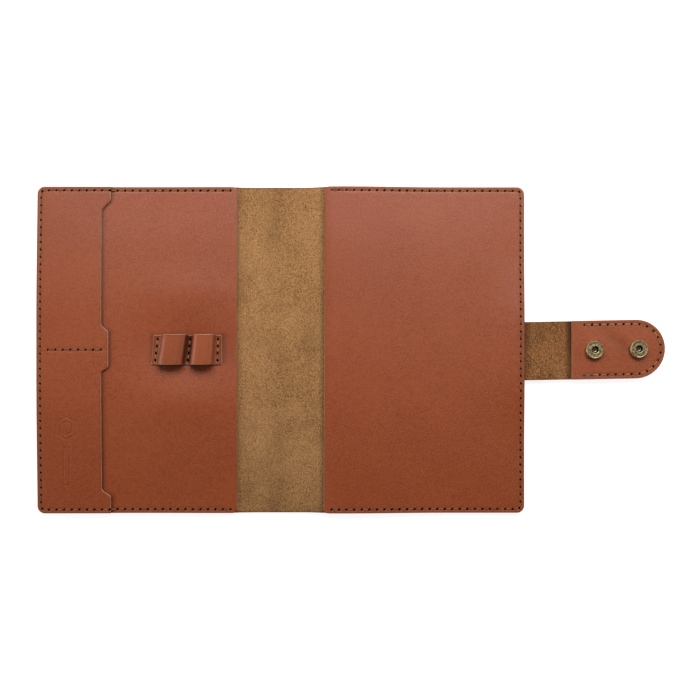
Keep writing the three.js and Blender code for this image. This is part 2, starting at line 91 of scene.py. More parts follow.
BACK_FLAP_X = box_mm("back_flap")[0][0]
FRONT_FLAP_X = -FOLD_X + (box_mm("front_flap")[1][0] + FOLD_X) / math.cos(FRONT_TILT)
POCKET_TAB_X = -FOLD_X + (box_mm("card_pocket")[1][0] + FOLD_X) / math.cos(FRONT_TILT)
STRAP_LOW, STRAP_HIGH = box_mm("strap_end")
ANCHOR_X = box_mm("strap_anchor")[0][0]
LINING_LOW, LINING_HIGH = box_mm("strap_lining")
STRAP_HALF = STRAP_HIGH[1]
STRAP_TIP_X = STRAP_HIGH[0]


def middle(node):
    low, high = box_mm(node)
    return (low + high) / 2


SOCKETS = {snap: middle(f"snap_socket_{snap}") for snap in ("near", "tip")}
STUDS = {
    snap: -FOLD_X + (middle(f"snap_stud_{snap}")[0] + FOLD_X) / math.cos(FRONT_TILT) for snap in SOCKETS
}

# ---- Leather and sewing ----

CORNER = 5.0
CORNER_REACH = 4 * CORNER         # columns this near to a side bend round its corners
FLAP_CORNER = 3.0
BACK_FLAP_SLANT = 0.5             # the back flap's free edge leans over this much at its ends
FLAP_TOP = 3.95                   # where it is sewn down, as POCKET_TOP
FLAP_THICK = FLAP_TOP - OUTER_TOP
POCKET_TOP = 5.45
POCKET_THICK = POCKET_TOP - FLAP_TOP
STRAP_BOTTOM = STRAP_LOW[2]
LINING_TOP = LINING_HIGH[2]
JOIN = 0.02                       # how far two sewn layers are let into each other, so that no slit shows
EDGE_ROUND = 0.4
POCKET_RISE = 0.45                # how far a flap's middle stands above its seams
SEAM_MARGIN = 2.6
STRAP_SEAM_MARGIN = 2.8
PITCH = 5.0
STRAP_PITCH = 5.35
GROOVE_DEPTH = 0.32
GROOVE_HALF = 0.8
STRAP_GROOVE = 0.26
FRONT_SEAM_END = -34.2
BACK_SEAM_END = 33.7
DIVIDER_X = (-156.3, -120.9)
DIVIDER_Y = 0.3
STRAP_SEAM_X = 204.0
GRID = PITCH / 4


# ---- Small helpers ----

def smoothstep(value, start, end):
    t = np.clip((value - start) / (end - start), 0.0, 1.0)
    return t * t * (3 - 2 * t)


def fade(value, start, end):
    return 1 - smoothstep(value, start, end)


def bell(value, centre, half):
    return np.exp(-(((value - centre) / half) ** 2))


def graded(low, high, low_offsets, high_offsets, step):
    """Positions from low to high: the given offsets near both ends, and even steps between."""
    start = low + max(low_offsets)
    stop = high - max(high_offsets)
    inner = np.linspace(start, stop, max(2, int(round((stop - start) / step)) + 1))
    places = np.concatenate([low + np.array(low_offsets), inner, high - np.array(high_offsets)])
    return np.unique(np.round(places, 5))


def corner_offsets(radius):
    """Rows that cut a round corner at even angles."""
    return list(radius * (1 - np.sin(np.linspace(0, math.pi / 2, 7))))


# Grid lines this far inside an edge follow its rounding, and the groove of the seam beside it.
ROUND_OFFSETS = [0.0, 0.05, 0.15, 0.4]
SEAM_OFFSETS = [1.4, 2.05, 2.6, 3.15, 3.9]


def rounded_inset(x, y, left, right, left_corner, right_corner):
    """How far a point lies inside a panel of the boards' height with rounded corners."""
    centre = (left + right) / 2
    corner = np.where(x < centre, left_corner, right_corner)
    across = np.abs(x - centre) - ((right - left) / 2 - corner)
    along = np.abs(y) - (HALF_HEIGHT - corner)
    outside = np.hypot(np.maximum(across, 0), np.maximum(along, 0))
    return corner - outside - np.minimum(np.maximum(across, along), 0)


def corner_cut(y, radius):
    """How far a panel's rounded corner has pulled its side in at height y."""
    along = np.clip(np.abs(y) - (HALF_HEIGHT - radius), 0, radius)
    return radius - np.sqrt(np.maximum(radius**2 - along**2, 0))


# ---- How the flat cover lies at rest ----

LOOPS_X, LOOPS_Y = -63.0, 1.0     # the middle of the strip of pen loops
LOOPS_HALF = 23.5                 # of its length
LOOP_DIP = 1.3
FRONT_WAVE = 1.0
FRONT_SAG = 3.5
BACK_WAVE = 3.6
BACK_SKEW = 0.15                  # share by which the back wave is higher at the top than in the middle
FOLD_REACH = 6.0                  # the leather bends over this far on each side of a fold line


def loop_dip(x, y):
    """The front board is drawn down where the pen loops are sewn on, and rolls up again around them."""
    dip = -LOOP_DIP * bell(x, LOOPS_X, 34) * bell(y, LOOPS_Y, 17)
    roll = bell(y, LOOPS_Y - 36, 14) + 0.7 * bell(y, LOOPS_Y + 38, 14)
    return dip + 0.8 * LOOP_DIP * roll * bell(x, LOOPS_X - 2, 34)


def front_wave(x, y):
    """The front board's lift off its tilted plane: a low wave near the fold, sagging corners, and the dip."""
    reach = np.clip((-FOLD_X - x) / (HALF_WIDTH - FOLD_X), 0, 1)
    wave = FRONT_WAVE * smoothstep(-x, 16, 34) * fade(-x, 40, 95)
    sag = FRONT_SAG * reach * smoothstep(np.abs(y), 20, HALF_HEIGHT + 25)
    return wave - sag + loop_dip(x, y)


def back_wave(x, y):
    """The back board's lift: the leather still stands a little where it was folded."""
    skew = 1 + BACK_SKEW * y / HALF_HEIGHT
    return BACK_WAVE * skew * smoothstep(x, 15, 36) * fade(x, 42, 112)


def tilt_front(x, z, share):
    """Turn points about the front fold line, by a share of the front board's tilt."""
    cosine, sine = np.cos(FRONT_TILT * share), np.sin(FRONT_TILT * share)
    dx, dz = x + FOLD_X, z - FOLD_Z
    return -FOLD_X + dx * cosine + dz * sine, FOLD_Z - dx * sine + dz * cosine


def lay_front(points):
    x, y, z = points.T
    z = z + front_wave(x, y)
    x, z = tilt_front(x, z, smoothstep(-x, FOLD_X - FOLD_REACH, FOLD_X + FOLD_REACH))
    return np.stack([x, y, z], 1)


def lay_back(points):
    x, y, z = points.T
    return np.stack([x, y, z + back_wave(x, y)], 1)


def strap_drift(x):
    """The strap is sewn in a little askew."""
    return (-0.8 + 0.019 * (x - HALF_WIDTH)) * smoothstep(x, ANCHOR_X, HALF_WIDTH)


def lay_strap(points):
    x, y, z = points.T
    return np.stack([x, y + strap_drift(x), z], 1)


# ---- Meshes ----

def new_object(name, points, faces, materials, slots, flat, shade, burnish=0.0, sharp=50):
    """A smooth mesh from points in millimetres, with the flat cover's coordinates and the shade and burnish
    for its materials. Faces that meet at more than sharp degrees keep a crisp edge."""
    mesh = bpy.data.meshes.new(name)
    mesh.from_pydata((np.asarray(points) * MM).tolist(), [], [list(face) for face in faces])
    for material in materials:
        mesh.materials.append(material)
    mesh.polygons.foreach_set("material_index", np.asarray(slots, np.int32))
    layer = mesh.attributes.new("flat_mm", "FLOAT_VECTOR", "POINT")
    layer.data.foreach_set("vector", np.asarray(flat, np.float32).ravel())
    for attribute, values in (("shade", shade), ("burnish", burnish)):
        layer = mesh.attributes.new(attribute, "FLOAT", "POINT")
        layer.data.foreach_set("value", np.full(len(flat), values, np.float32))
    mesh.polygons.foreach_set("use_smooth", np.ones(len(mesh.polygons), bool))
    mesh.set_sharp_from_angle(angle=math.radians(sharp))
    mesh.update()
    thing = bpy.data.objects.new(name, mesh)
    bpy.context.scene.collection.objects.link(thing)
    return thing


def grid_faces(rows, columns, start=0, flip=False):
    index = np.arange(rows * columns).reshape(rows, columns) + start
    quads = np.stack([index[:-1, :-1], index[:-1, 1:], index[1:, 1:], index[1:, :-1]], -1).reshape(-1, 4)
    return quads[:, ::-1] if flip else quads


def wall_faces(rows, columns):
    """The rim between a top grid and the bottom grid that follows it."""
    index = np.arange(rows * columns).reshape(rows, columns)
    ring = np.concatenate([index[0, :-1], index[:-1, -1], index[-1, :0:-1], index[:0:-1, 0]])
    following = np.roll(ring, -1)
    count = rows * columns
    return np.stack([ring, ring + count, following + count, following], 1)


TOP, BOTTOM, RIM = 0, 1, 2
SEED_OFFSET = np.array([173.0, 91.0, 47.0])     # each piece takes its leather from another place of the hide


def leather_faces(rows, columns, rim):
    """The faces of a closed sheet and their material slots. The outermost cells of its upper face take the
    cut edge's material: as many as rim says along its first and last rows, first and last columns."""
    faces = np.concatenate([
        grid_faces(rows, columns),
        grid_faces(rows, columns, rows * columns, flip=True),
        wall_faces(rows, columns),
    ])
    cells = (rows - 1) * (columns - 1)
    slots = np.repeat([TOP, BOTTOM, RIM], [cells, cells, len(faces) - 2 * cells])
    cell_rows, cell_columns = np.divmod(np.arange(cells), columns - 1)
    on_rim = ((cell_rows < rim[0]) | (cell_rows >= rows - 1 - rim[1])
              | (cell_columns < rim[2]) | (cell_columns >= columns - 1 - rim[3]))
    slots[:cells][on_rim] = RIM
    return faces, slots


def sheet(name, x, y, top, bottom, materials, lay, seed, shade, rim_cells=0, burnish=0.0):
    """A closed sheet of leather over the grid x, y, with its materials for the top, bottom and rim."""
    faces, slots = leather_faces(*x.shape, [rim_cells] * 4)
    flat = np.concatenate([np.stack([x, y, z], -1).reshape(-1, 3) for z in (top, bottom)])
    shades = np.concatenate([shade.ravel(), np.zeros(x.size)])
    burnishes = np.tile(np.broadcast_to(burnish, x.shape).ravel(), 2)
    return new_object(name, lay(flat), faces, materials, slots, flat + SEED_OFFSET * seed, shades, burnishes)


def edge_drop(inset):
    """How far a cut edge's rounding falls away, by the distance inside it."""
    reach = np.clip(EDGE_ROUND - inset, 0, EDGE_ROUND)
    return EDGE_ROUND - np.sqrt(np.maximum(EDGE_ROUND**2 - reach**2, 0))


def groove(distance, along, depth=GROOVE_DEPTH, pitch=PITCH):
    """The dent that a seam pulls into the leather, deepest at the holes."""
    pull = 0.72 + 0.28 * np.cos(2 * math.pi * along / pitch)
    return -depth * pull * bell(distance, 0, GROOVE_HALF)


# ---- Materials ----

class Nodes:
    """A material's node tree, with short names for the nodes that are used here."""

    def __init__(self, name):
        self.material = bpy.data.materials.new(name)
        self.material.use_nodes = True
        self.tree = self.material.node_tree
        self.shader = self.tree.nodes["Principled BSDF"]

    def add(self, kind, **inputs):
        node = self.tree.nodes.new(kind)
        for key, value in inputs.items():
            self.put(node, key, value)
        return node

    def put(self, node, key, value):
        socket = node.inputs[key.replace("_", " ")] if isinstance(key, str) else node.inputs[key]
        if hasattr(value, "is_output"):
            self.tree.links.new(value, socket)
        else:
            socket.default_value = value

    def attribute(self, name, output="Fac"):
        node = self.add("ShaderNodeAttribute")
        node.attribute_name = name
        return node.outputs[output]

    def flat(self, scale=(1, 1, 1), turn=0.0):
        """A place on the flat cover, in millimetres."""
        place = self.attribute("flat_mm", "Vector")
        node = self.add("ShaderNodeMapping", Vector=place, Scale=scale, Rotation=(0, 0, turn))
        return node.outputs["Vector"]

    def noise(self, vector, size, detail=2.0, rough=0.5, distortion=0.0):
        node = self.add("ShaderNodeTexNoise", Vector=vector, Scale=1.0 / size, Detail=detail,
                        Roughness=rough, Distortion=distortion)
        return node.outputs["Fac"]

    def cells(self, vector, size, feature="DISTANCE_TO_EDGE"):
        node = self.add("ShaderNodeTexVoronoi", Vector=vector, Scale=1.0 / size)
        node.feature = feature
        return node.outputs["Distance"]

    def ramp(self, value, low, high, to_low=0.0, to_high=1.0):
        node = self.add("ShaderNodeMapRange", Value=value, From_Min=low, From_Max=high, To_Min=to_low,
                        To_Max=to_high)
        node.interpolation_type = "SMOOTHSTEP"
        return node.outputs["Result"]

    def math(self, operation, a, b):
        node = self.add("ShaderNodeMath")
        node.operation = operation
        self.put(node, 0, a)
        self.put(node, 1, b)
        return node.outputs["Value"]

    def mix(self, factor, a, b):
        node = self.add("ShaderNodeMix")
        node.data_type = "RGBA"
        self.put(node, 0, factor)
        self.put(node, 6, a)
        self.put(node, 7, b)
        return node.outputs[2]

    def shaded(self, color, most, dark):
        """The colour where the mesh's shade is 0, and up to the given share of dark where it is 1."""
        return self.mix(self.math("MULTIPLY", self.attribute("shade"), most), color, dark)

    def bump(self, height, distance, strength):
        node = self.add("ShaderNodeBump", Height=height, Distance=distance * MM, Strength=strength)
        return node.outputs["Normal"]

    def finish(self, color, rough, normal=None, **constants):
        self.put(self.shader, "Base Color", color)
        self.put(self.shader, "Roughness", rough)
        if normal is not None:
            self.put(self.shader, "Normal", normal)
        for key, value in constants.items():
            self.shader.inputs[key.replace("_", " ")].default_value = value
        return self.material


def rgb(red, green, blue):
    """Linear colour from 8-bit sRGB values."""
    def linear(value):
        value = value / 255
        return value / 12.92 if value <= 0.04045 else ((value + 0.055) / 1.055) ** 2.4
    return (linear(red), linear(green), linear(blue), 1.0)


BURNISHED_LIGHT = rgb(122, 62, 38)
BURNISHED_DARK = rgb(84, 42, 26)
PORE_COLOR = rgb(84, 36, 16)
# Smooth leather darkens towards this where the mesh's shade is high: painted shade, and the darker bands
# along cut edges and in the stamped mark.
SHADE_AND_WEAR_COLOR = rgb(70, 30, 14)


def smooth_leather(name, light, dark, gloss=(0.37, 0.46), relief=0.42):
    """Vegetable-tanned leather, grain side: nearly even colour, fine grain, few pores and a soft sheen."""
    n = Nodes(name)
    place = n.flat()
    clouds = n.noise(place, 55, 2.0, 0.5)
    mottle = n.noise(place, 3.6, 4.0, 0.7)
    fine = n.noise(place, 1.1, 3.0, 0.7)
    color = n.mix(n.ramp(clouds, 0.3, 0.7, 0.3, 0.7), light, dark)
    color = n.mix(n.ramp(mottle, 0.35, 0.68, 0.0, 0.65), color, dark)
    color = n.mix(n.ramp(fine, 0.38, 0.66, 0.0, 0.9), color, light)
    pores = n.cells(place, 2.3, "F1")
    rare = n.noise(place, 3.1, 1.0)
    speck = n.math("MULTIPLY", n.ramp(pores, 0.17, 0.08), n.ramp(rare, 0.6, 0.68))
    color = n.mix(n.math("MULTIPLY", speck, 0.6), color, PORE_COLOR)
    color = n.shaded(color, 0.8, SHADE_AND_WEAR_COLOR)
    grain = n.cells(place, 0.8)
    wrinkle = n.noise(place, 1.6, 4.0, 0.65, 0.5)
    height = n.math("ADD", n.ramp(grain, 0.0, 0.25), n.math("MULTIPLY", wrinkle, 1.8))
    normal = n.bump(height, 0.1, relief)
    rough = n.ramp(n.noise(place, 1.4, 3.0), 0.3, 0.7, *gloss)
    return n.finish(color, rough, normal, Specular_IOR_Level=0.5)


def suede(name, light, mid, dark, fibre, curl):
    """The flesh side: short matted fibres, patchy where the nap lies one way or the other."""
    n = Nodes(name)
    place = n.flat()
    nap = n.flat(scale=(1.0, 0.5, 1.0), turn=math.radians(38))
    tufts = n.noise(place, fibre, 3.0, 0.62, curl)
    fibres = n.noise(nap, fibre * 0.4, 3.0, 0.7, curl * 0.6)
    patches = n.noise(nap, 13, 3.0, 0.6, 0.8)
    drift = n.noise(place, 45, 2.0)
    color = n.mix(n.ramp(tufts, 0.34, 0.62), dark, mid)
    color = n.mix(n.ramp(fibres, 0.42, 0.72, 0.0, 0.75), color, light)
    color = n.mix(n.ramp(fibres, 0.42, 0.26, 0.0, 0.7), color, dark)
    color = n.mix(n.ramp(patches, 0.4, 0.7, 0.0, 0.22), color, dark)
    color = n.mix(n.ramp(drift, 0.4, 0.65, 0.0, 0.14), color, light)
    # Painted shade where the mesh's shade is high.
    color = n.shaded(color, 0.85, rgb(62, 38, 18))
    height = n.math("ADD", fibres, n.math("MULTIPLY", tufts, 1.6))
    normal = n.bump(height, 0.4, 0.6)
    return n.finish(color, 0.95, normal, Specular_IOR_Level=0.15, Sheen_Weight=0.03, Sheen_Roughness=0.5)


def cut_edge(name, light, dark):
    """A cut through the leather, with the fibre layers along it: raw, or burnished dark on the sewn sides."""
    n = Nodes(name)
    layers = n.noise(n.flat(scale=(0.25, 0.25, 3.0)), 0.8, 3.0, 0.6)
    raw = n.mix(n.ramp(layers, 0.3, 0.7), light, dark)
    burnished = n.mix(n.ramp(layers, 0.3, 0.7), BURNISHED_LIGHT, BURNISHED_DARK)
    color = n.mix(n.attribute("burnish"), raw, burnished)
    rough = n.ramp(n.attribute("burnish"), 0.0, 1.0, 0.75, 0.45)
    normal = n.bump(layers, 0.12, 0.5)
    return n.finish(color, rough, normal)


def thread_material(name, light, dark, gloss):
    n = Nodes(name)
    fibres = n.noise(n.flat(), 0.35, 3.0, 0.65)
    soiled = n.noise(n.flat(), 7.0, 1.0)
    color = n.mix(n.ramp(fibres, 0.3, 0.7), light, dark)
    color = n.mix(n.ramp(soiled, 0.4, 0.65, 0.0, 0.8), color, dark)
    # Painted shade at the stitch's ends and between its plies, where the mesh's shade is high.
    color = n.shaded(color, 0.85, rgb(26, 18, 12))
    normal = n.bump(fibres, 0.05, 0.5)
    return n.finish(color, gloss, normal, Specular_IOR_Level=0.25)


def hole_material():
    # Near black: painted shade for the inside of an awl hole.
    n = Nodes("awl_hole")
    shadow_mottle = n.noise(n.flat(), 0.4)
    return n.finish(n.mix(shadow_mottle, rgb(14, 9, 6), rgb(6, 4, 3)), 1.0, Specular_IOR_Level=0.0)


def melted_material():
    n = Nodes("melted_thread")
    ash = n.noise(n.flat(), 0.5, 3.0)
    color = n.mix(n.ramp(ash, 0.35, 0.65), rgb(84, 76, 68), rgb(34, 28, 24))
    return n.finish(color, 0.45, n.bump(ash, 0.1, 0.5))


def antique_brass(name, light, dark):
    """Brass with a brown patina; where the mesh's shade is high it darkens further, as patina in its hollows
    and as painted shade in its holes.
    """
    n = Nodes(name)
    place = n.flat()
    patina = n.noise(place, 1.1, 4.0, 0.65)
    brushed = n.noise(n.flat(scale=(1, 1, 6)), 0.5, 3.0)
    color = n.mix(n.ramp(patina, 0.35, 0.7), light, dark)
    color = n.mix(n.attribute("shade"), color, rgb(38, 30, 18))
    rough = n.ramp(brushed, 0.3, 0.7, 0.3, 0.5)
    normal = n.bump(n.math("ADD", patina, brushed), 0.03, 0.4)
    return n.finish(color, rough, normal, Metallic=1.0)


LEATHER = smooth_leather("smooth_leather", rgb(155, 75, 37), rgb(128, 54, 19))
# The strap's lining is a lighter copy of the leather: painted light.
LINING_LEATHER = smooth_leather("smooth_leather_lining", rgb(160, 81, 43), rgb(133, 60, 25))
# The pen loops' leather is smoother, and lighter than the boards', which paints in their soft sheen.
LOOP_LEATHER = smooth_leather("smooth_leather_loops_painted_sheen", rgb(157, 80, 43), rgb(137, 63, 29), (0.36, 0.44), 0.2)
SUEDE_SPINE = suede("suede_spine", rgb(222, 170, 115), rgb(164, 115, 68), rgb(74, 48, 25), 0.75, 0.5)
SUEDE_STRAP = suede("suede_strap", rgb(210, 146, 91), rgb(130, 83, 45), rgb(30, 17, 8), 1.5, 1.4)
CUT_EDGE = cut_edge("cut_edge", rgb(200, 150, 110), rgb(158, 108, 74))
PALE_EDGE = cut_edge("pale_edge", rgb(196, 150, 112), rgb(156, 110, 78))
BURNISHED_EDGE = cut_edge("burnished_edge", BURNISHED_LIGHT, BURNISHED_DARK)
THREAD_BROWN = thread_material("thread_brown", rgb(156, 114, 76), rgb(100, 70, 45), 0.55)
# The pen loops' seams take a lighter copy of the brown thread: painted light.
THREAD_TAN = thread_material("thread_tan", rgb(196, 148, 98), rgb(128, 92, 58), 0.55)
THREAD_AMBER = thread_material("thread_amber", rgb(208, 134, 74), rgb(136, 76, 38), 0.5)
HOLE = hole_material()
MELTED = melted_material()
BRASS = antique_brass("antique_brass", rgb(218, 199, 151), rgb(137, 122, 89))
# The ring spring's brass is darker: painted shade, as it lies down in the socket's mouth.
SPRING_BRASS = antique_brass("spring_brass", rgb(190, 168, 112), rgb(140, 118, 72))

# What a sheet shows on its upper face, its underside and its cut edge.
SKINS = [LEATHER, SUEDE_SPINE, CUT_EDGE]
LINING_SKINS = [LINING_LEATHER, SUEDE_SPINE, CUT_EDGE]
LOOP_SKINS = [LOOP_LEATHER, SUEDE_SPINE, PALE_EDGE]


# ---- The boards' height fields ----

def sewn_distance(x, y):
    """Distance of a point inside a board from its three sewn sides."""
    return rounded_inset(np.abs(x), y, -HALF_WIDTH, HALF_WIDTH, CORNER, CORNER)


def board_groove(x, y, seam_end):
    distance = sewn_distance(x, y)
    upright = HALF_WIDTH - np.abs(x) < HALF_HEIGHT - np.abs(y)
    along = np.where(upright, y, x)
    reach = smoothstep(np.abs(x), abs(seam_end) - 1.5, abs(seam_end) + 0.5)
    return groove(distance - SEAM_MARGIN, along) * reach


def sewn_edge(x, y):
    """1 on a board's sewn sides, whose edges are burnished together, and 0 at a flap's free edge."""
    return fade(sewn_distance(x, y), 0.5, 1.5)


def pocket_rise(x, y):
    """A flap lies on the outer leather at its seams and stands away from it inside them."""
    return POCKET_RISE * smoothstep(sewn_distance(x, y), 1, 42)


STRAP_THICK = STRAP_FOLD_Z - STRAP_BOTTOM
SKIVED = 0.5                      # thickness left at the strap's sewn-in end


def strap_skive(x):
    """Thickness of the strap's sewn-in end, pared down towards the inside."""
    return SKIVED + (STRAP_THICK - SKIVED) * smoothstep(x, ANCHOR_X, HALF_WIDTH - 2)


def strap_hump(x, y):
    """The back flap climbs over the strap's sewn-in end."""
    over = smoothstep(x, ANCHOR_X - 34, ANCHOR_X + 8)
    across = fade(np.abs(y - strap_drift(x)), STRAP_HALF - 6, STRAP_HALF + 50)
    return strap_skive(x) * over * across


def flap_bottom(x, y, side):
    if side < 0:
        return OUTER_TOP + pocket_rise(x, y)
    return OUTER_TOP + np.hypot(pocket_rise(x, y), strap_hump(x, y))


# ---- Leather pieces ----

def row_places(left_corner, right_corner, extra=()):
    offsets = sorted({*ROUND_OFFSETS, *SEAM_OFFSETS, *corner_offsets(max(left_corner, right_corner))})
    rows = graded(-HALF_HEIGHT, HALF_HEIGHT, offsets, offsets, GRID)
    return np.unique(np.concatenate([rows, np.asarray(extra, float)]))


def side_offsets(corner):
    """A sewn or free side has a rounded edge; the middle of the spine, which has no corner, is plain."""
    return [*ROUND_OFFSETS, *SEAM_OFFSETS] if corner else [0.0]


def panel_grid(left, right, left_corner, right_corner):
    """A grid over a panel, closer together at its sides and seams and drawn in at its corners."""
    rows = row_places(left_corner, right_corner)
    columns = graded(left, right, side_offsets(left_corner), side_offsets(right_corner), GRID)
    near_left = np.clip(1 - (columns - left) / CORNER_REACH, 0, 1)
    near_right = np.clip(1 - (right - columns) / CORNER_REACH, 0, 1)
    x = (columns + corner_cut(rows, left_corner)[:, None] * near_left
         - corner_cut(rows, right_corner)[:, None] * near_right)
    return x, np.repeat(rows[:, None], len(columns), 1)


# A board by its side of the spine: its name, how it lies, and where its seam ends beside the spine.
BOARDS = {
    -1: ("front", lay_front, FRONT_SEAM_END),
    1: ("back", lay_back, BACK_SEAM_END),
}


def spine_shade(x, y):
    """Painted shade on the suede: darker along the spine's middle, beside the flaps, at its edges and towards
    the bottom.
    """
    shade = 0.13 * bell(x, -3.5, 7.5) + 0.16 * smoothstep(-y, 0, HALF_HEIGHT)
    shade = shade + 0.5 * fade(sewn_distance(x, y), 0, 1.2)
    shade = shade + 0.5 * fade(y + HALF_HEIGHT, 0, 1)
    return shade + 0.25 * smoothstep(-x, 25.5, 29) + 0.45 * smoothstep(x, 24.5, 28.5)


def outer_leather(side):
    """Half of the outer leather, from the spine's centre line to a board's edge."""
    board, lay, seam_end = BOARDS[side]
    x, y = panel_grid(0, HALF_WIDTH, 0, CORNER) if side > 0 else panel_grid(-HALF_WIDTH, 0, CORNER, 0)
    rounding = edge_drop(sewn_distance(x, y))
    bare = np.abs(x) < min(abs(seam_end), abs(FRONT_FLAP_X))
    top = OUTER_TOP + JOIN - np.where(bare, rounding, 0)
    bottom = rounding - board_groove(x, y, seam_end)
    skins = [SUEDE_SPINE, LEATHER, BURNISHED_EDGE]
    thing = sheet(f"outer_leather_{board}", x, y, top, bottom, skins, lay, 1, spine_shade(x, y))
    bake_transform(thing)
    if side > 0:
        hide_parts("back_cover_leather", "spine_leather")
    else:
        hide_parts("front_cover_leather")


def lower_half_shade(y):
    """Painted shade: the front board is darker towards the bottom."""
    return 0.07 * smoothstep(-y, 28, 60)


def front_flap_shade(x, y):
    """Painted shade on the front flap: towards the bottom, above and around the pen loops, and beside the
    card pocket's edge.
    """
    above_loops = 0.1 * bell(x, LOOPS_X + 3, 26) * bell(y, LOOPS_Y + 19, 11)
    from_loops = np.abs(x - LOOPS_X) - LOOPS_HALF
    beside_loops = fade(from_loops, 0, 4.5) * fade(np.abs(y - LOOPS_Y), 8.5, 12)
    from_pocket = x - pocket_edge(y)
    beside_pocket = smoothstep(from_pocket, -1.5, -0.2) * fade(from_pocket, 0.2, 2.4)
    return lower_half_shade(y) + above_loops + 0.55 * beside_loops + beside_pocket


def flap(side):
    """A board's inner leather, sewn on along three sides."""
    board, lay, seam_end = BOARDS[side]
    if side > 0:
        left, right, corners = BACK_FLAP_X, HALF_WIDTH, (FLAP_CORNER, CORNER)
    else:
        left, right, corners = -HALF_WIDTH, FRONT_FLAP_X, (CORNER, FLAP_CORNER)
    x, y = panel_grid(left, right, *corners)
    inset = rounded_inset(x, y, left, right, *corners)
    bottom = flap_bottom(x, y, side)
    top = bottom + FLAP_THICK - edge_drop(inset) + board_groove(x, y, seam_end)
    burnish = sewn_edge(x, y)
    shade = 0.25 * fade(inset, 0.1, 1.2)
    if side > 0:
        near_free_edge = fade(x, BACK_FLAP_X, BACK_FLAP_X + 40)
        x = x + BACK_FLAP_SLANT * y / HALF_HEIGHT * near_free_edge
    else:
        shade = shade + front_flap_shade(x, y)
    thing = sheet(f"{board}_flap_leather", x, y, top, bottom, SKINS, lay, 2 + side, shade,
                  rim_cells=2, burnish=burnish)
    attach(thing, f"{board}_board")
    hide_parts(f"{board}_flap")


# The card pocket's free edge steps in and out. Each step: the heights between which it slants, from the top
# down, and the edge's places above and below it.
POCKET_SLOT_X = POCKET_TAB_X - 6.0
POCKET_MIDDLE_X = POCKET_TAB_X - 1.3
POCKET_FIXED_X = -132.0           # beyond this, the pocket's columns follow its free edge
DIVIDER_GROOVE = 0.25
POCKET_STEPS = (
    (101.9, 92.8, POCKET_TAB_X, POCKET_SLOT_X),
    (17.4, 11.8, POCKET_SLOT_X, POCKET_MIDDLE_X),
    (-11.0, -15.7, POCKET_MIDDLE_X, POCKET_SLOT_X),
    (-93.4, -99.3, POCKET_SLOT_X, POCKET_TAB_X),
)


def pocket_edge(y):
    x = np.full_like(y, POCKET_TAB_X)
    for upper, lower, above, below in POCKET_STEPS:
        x = x + (below - above) * smoothstep(-y, -upper, -lower)
    return x


# A plain blind-stamped ornament: two hexagons and a long bar.
MARK_X = -144.2
MARK_Y = -52.5
MARK_RADII = (7.6, 4.6)
BAR_TOP, BAR_BOTTOM, BAR_HALF = -65.5, -91.0, 1.9
MARK_LINE = 0.33
MARK_DEPTH = 0.16
MARK_GRID = 0.42


def hexagon_distance(x, y, radius):
    reach = [np.abs(x * math.cos(turn) + y * math.sin(turn)) for turn in (0, math.pi / 3, -math.pi / 3)]
    return np.abs(np.maximum.reduce(reach) - radius * math.cos(math.pi / 6))


def mark_dent(x, y):
    lines = [hexagon_distance(x - MARK_X, y - MARK_Y, radius) for radius in MARK_RADII]
    across = np.abs(x - MARK_X) - BAR_HALF
    along = np.abs(y - (BAR_TOP + BAR_BOTTOM) / 2) - (BAR_TOP - BAR_BOTTOM) / 2
    lines.append(np.abs(np.hypot(np.maximum(across, 0), np.maximum(along, 0))
                        + np.minimum(np.maximum(across, along), 0)))
    return fade(np.minimum.reduce(lines), MARK_LINE * 0.5, MARK_LINE * 2.2)


def pocket_bottom(x, y):
    return flap_bottom(x, y, -1) + FLAP_THICK - JOIN


def pocket_top(x, y):
    return pocket_bottom(x, y) + POCKET_THICK + JOIN


def pocket_columns():
    """Columns up to where the free edge's steps begin, closer together over the ornament."""
    on_mark = np.arange(MARK_X - MARK_RADII[0] - 1, MARK_X + MARK_RADII[0] + 1.1, MARK_GRID)
    columns = graded(-HALF_WIDTH, POCKET_FIXED_X, side_offsets(CORNER), [0.0], GRID)
    beside = (columns < on_mark[0] - 0.3) | (columns > on_mark[-1] + 0.3)
    return np.unique(np.concatenate([columns[beside], on_mark]))


def pocket_rows():
    """Rows that follow the free edge's steps, closer together over the ornament."""
    steps = np.concatenate([np.arange(low - 1, high + 1, 0.6) for high, low, _, _ in POCKET_STEPS])
    rows = row_places(CORNER, 0, extra=steps)
    beside = (rows <= BAR_BOTTOM - 1.5) | (rows >= MARK_Y + 9)
    return np.unique(np.concatenate([rows[beside], np.arange(BAR_BOTTOM - 1.4, MARK_Y + 9, MARK_GRID)]))


def pocket_grid():
    columns, rows = pocket_columns(), pocket_rows()
    near_left = np.clip(1 - (columns + HALF_WIDTH) / CORNER_REACH, 0, 1)
    edge_offsets = [offset / (POCKET_SLOT_X - POCKET_FIXED_X) for offset in ROUND_OFFSETS]
    stretch = graded(0, 1, [0.0], edge_offsets, 0.1)[1:]
    x = np.concatenate([
        columns + corner_cut(rows, CORNER)[:, None] * near_left,
        POCKET_FIXED_X + stretch * (pocket_edge(rows) - POCKET_FIXED_X)[:, None],
    ], 1)
    return x, np.repeat(rows[:, None], x.shape[1], 1)


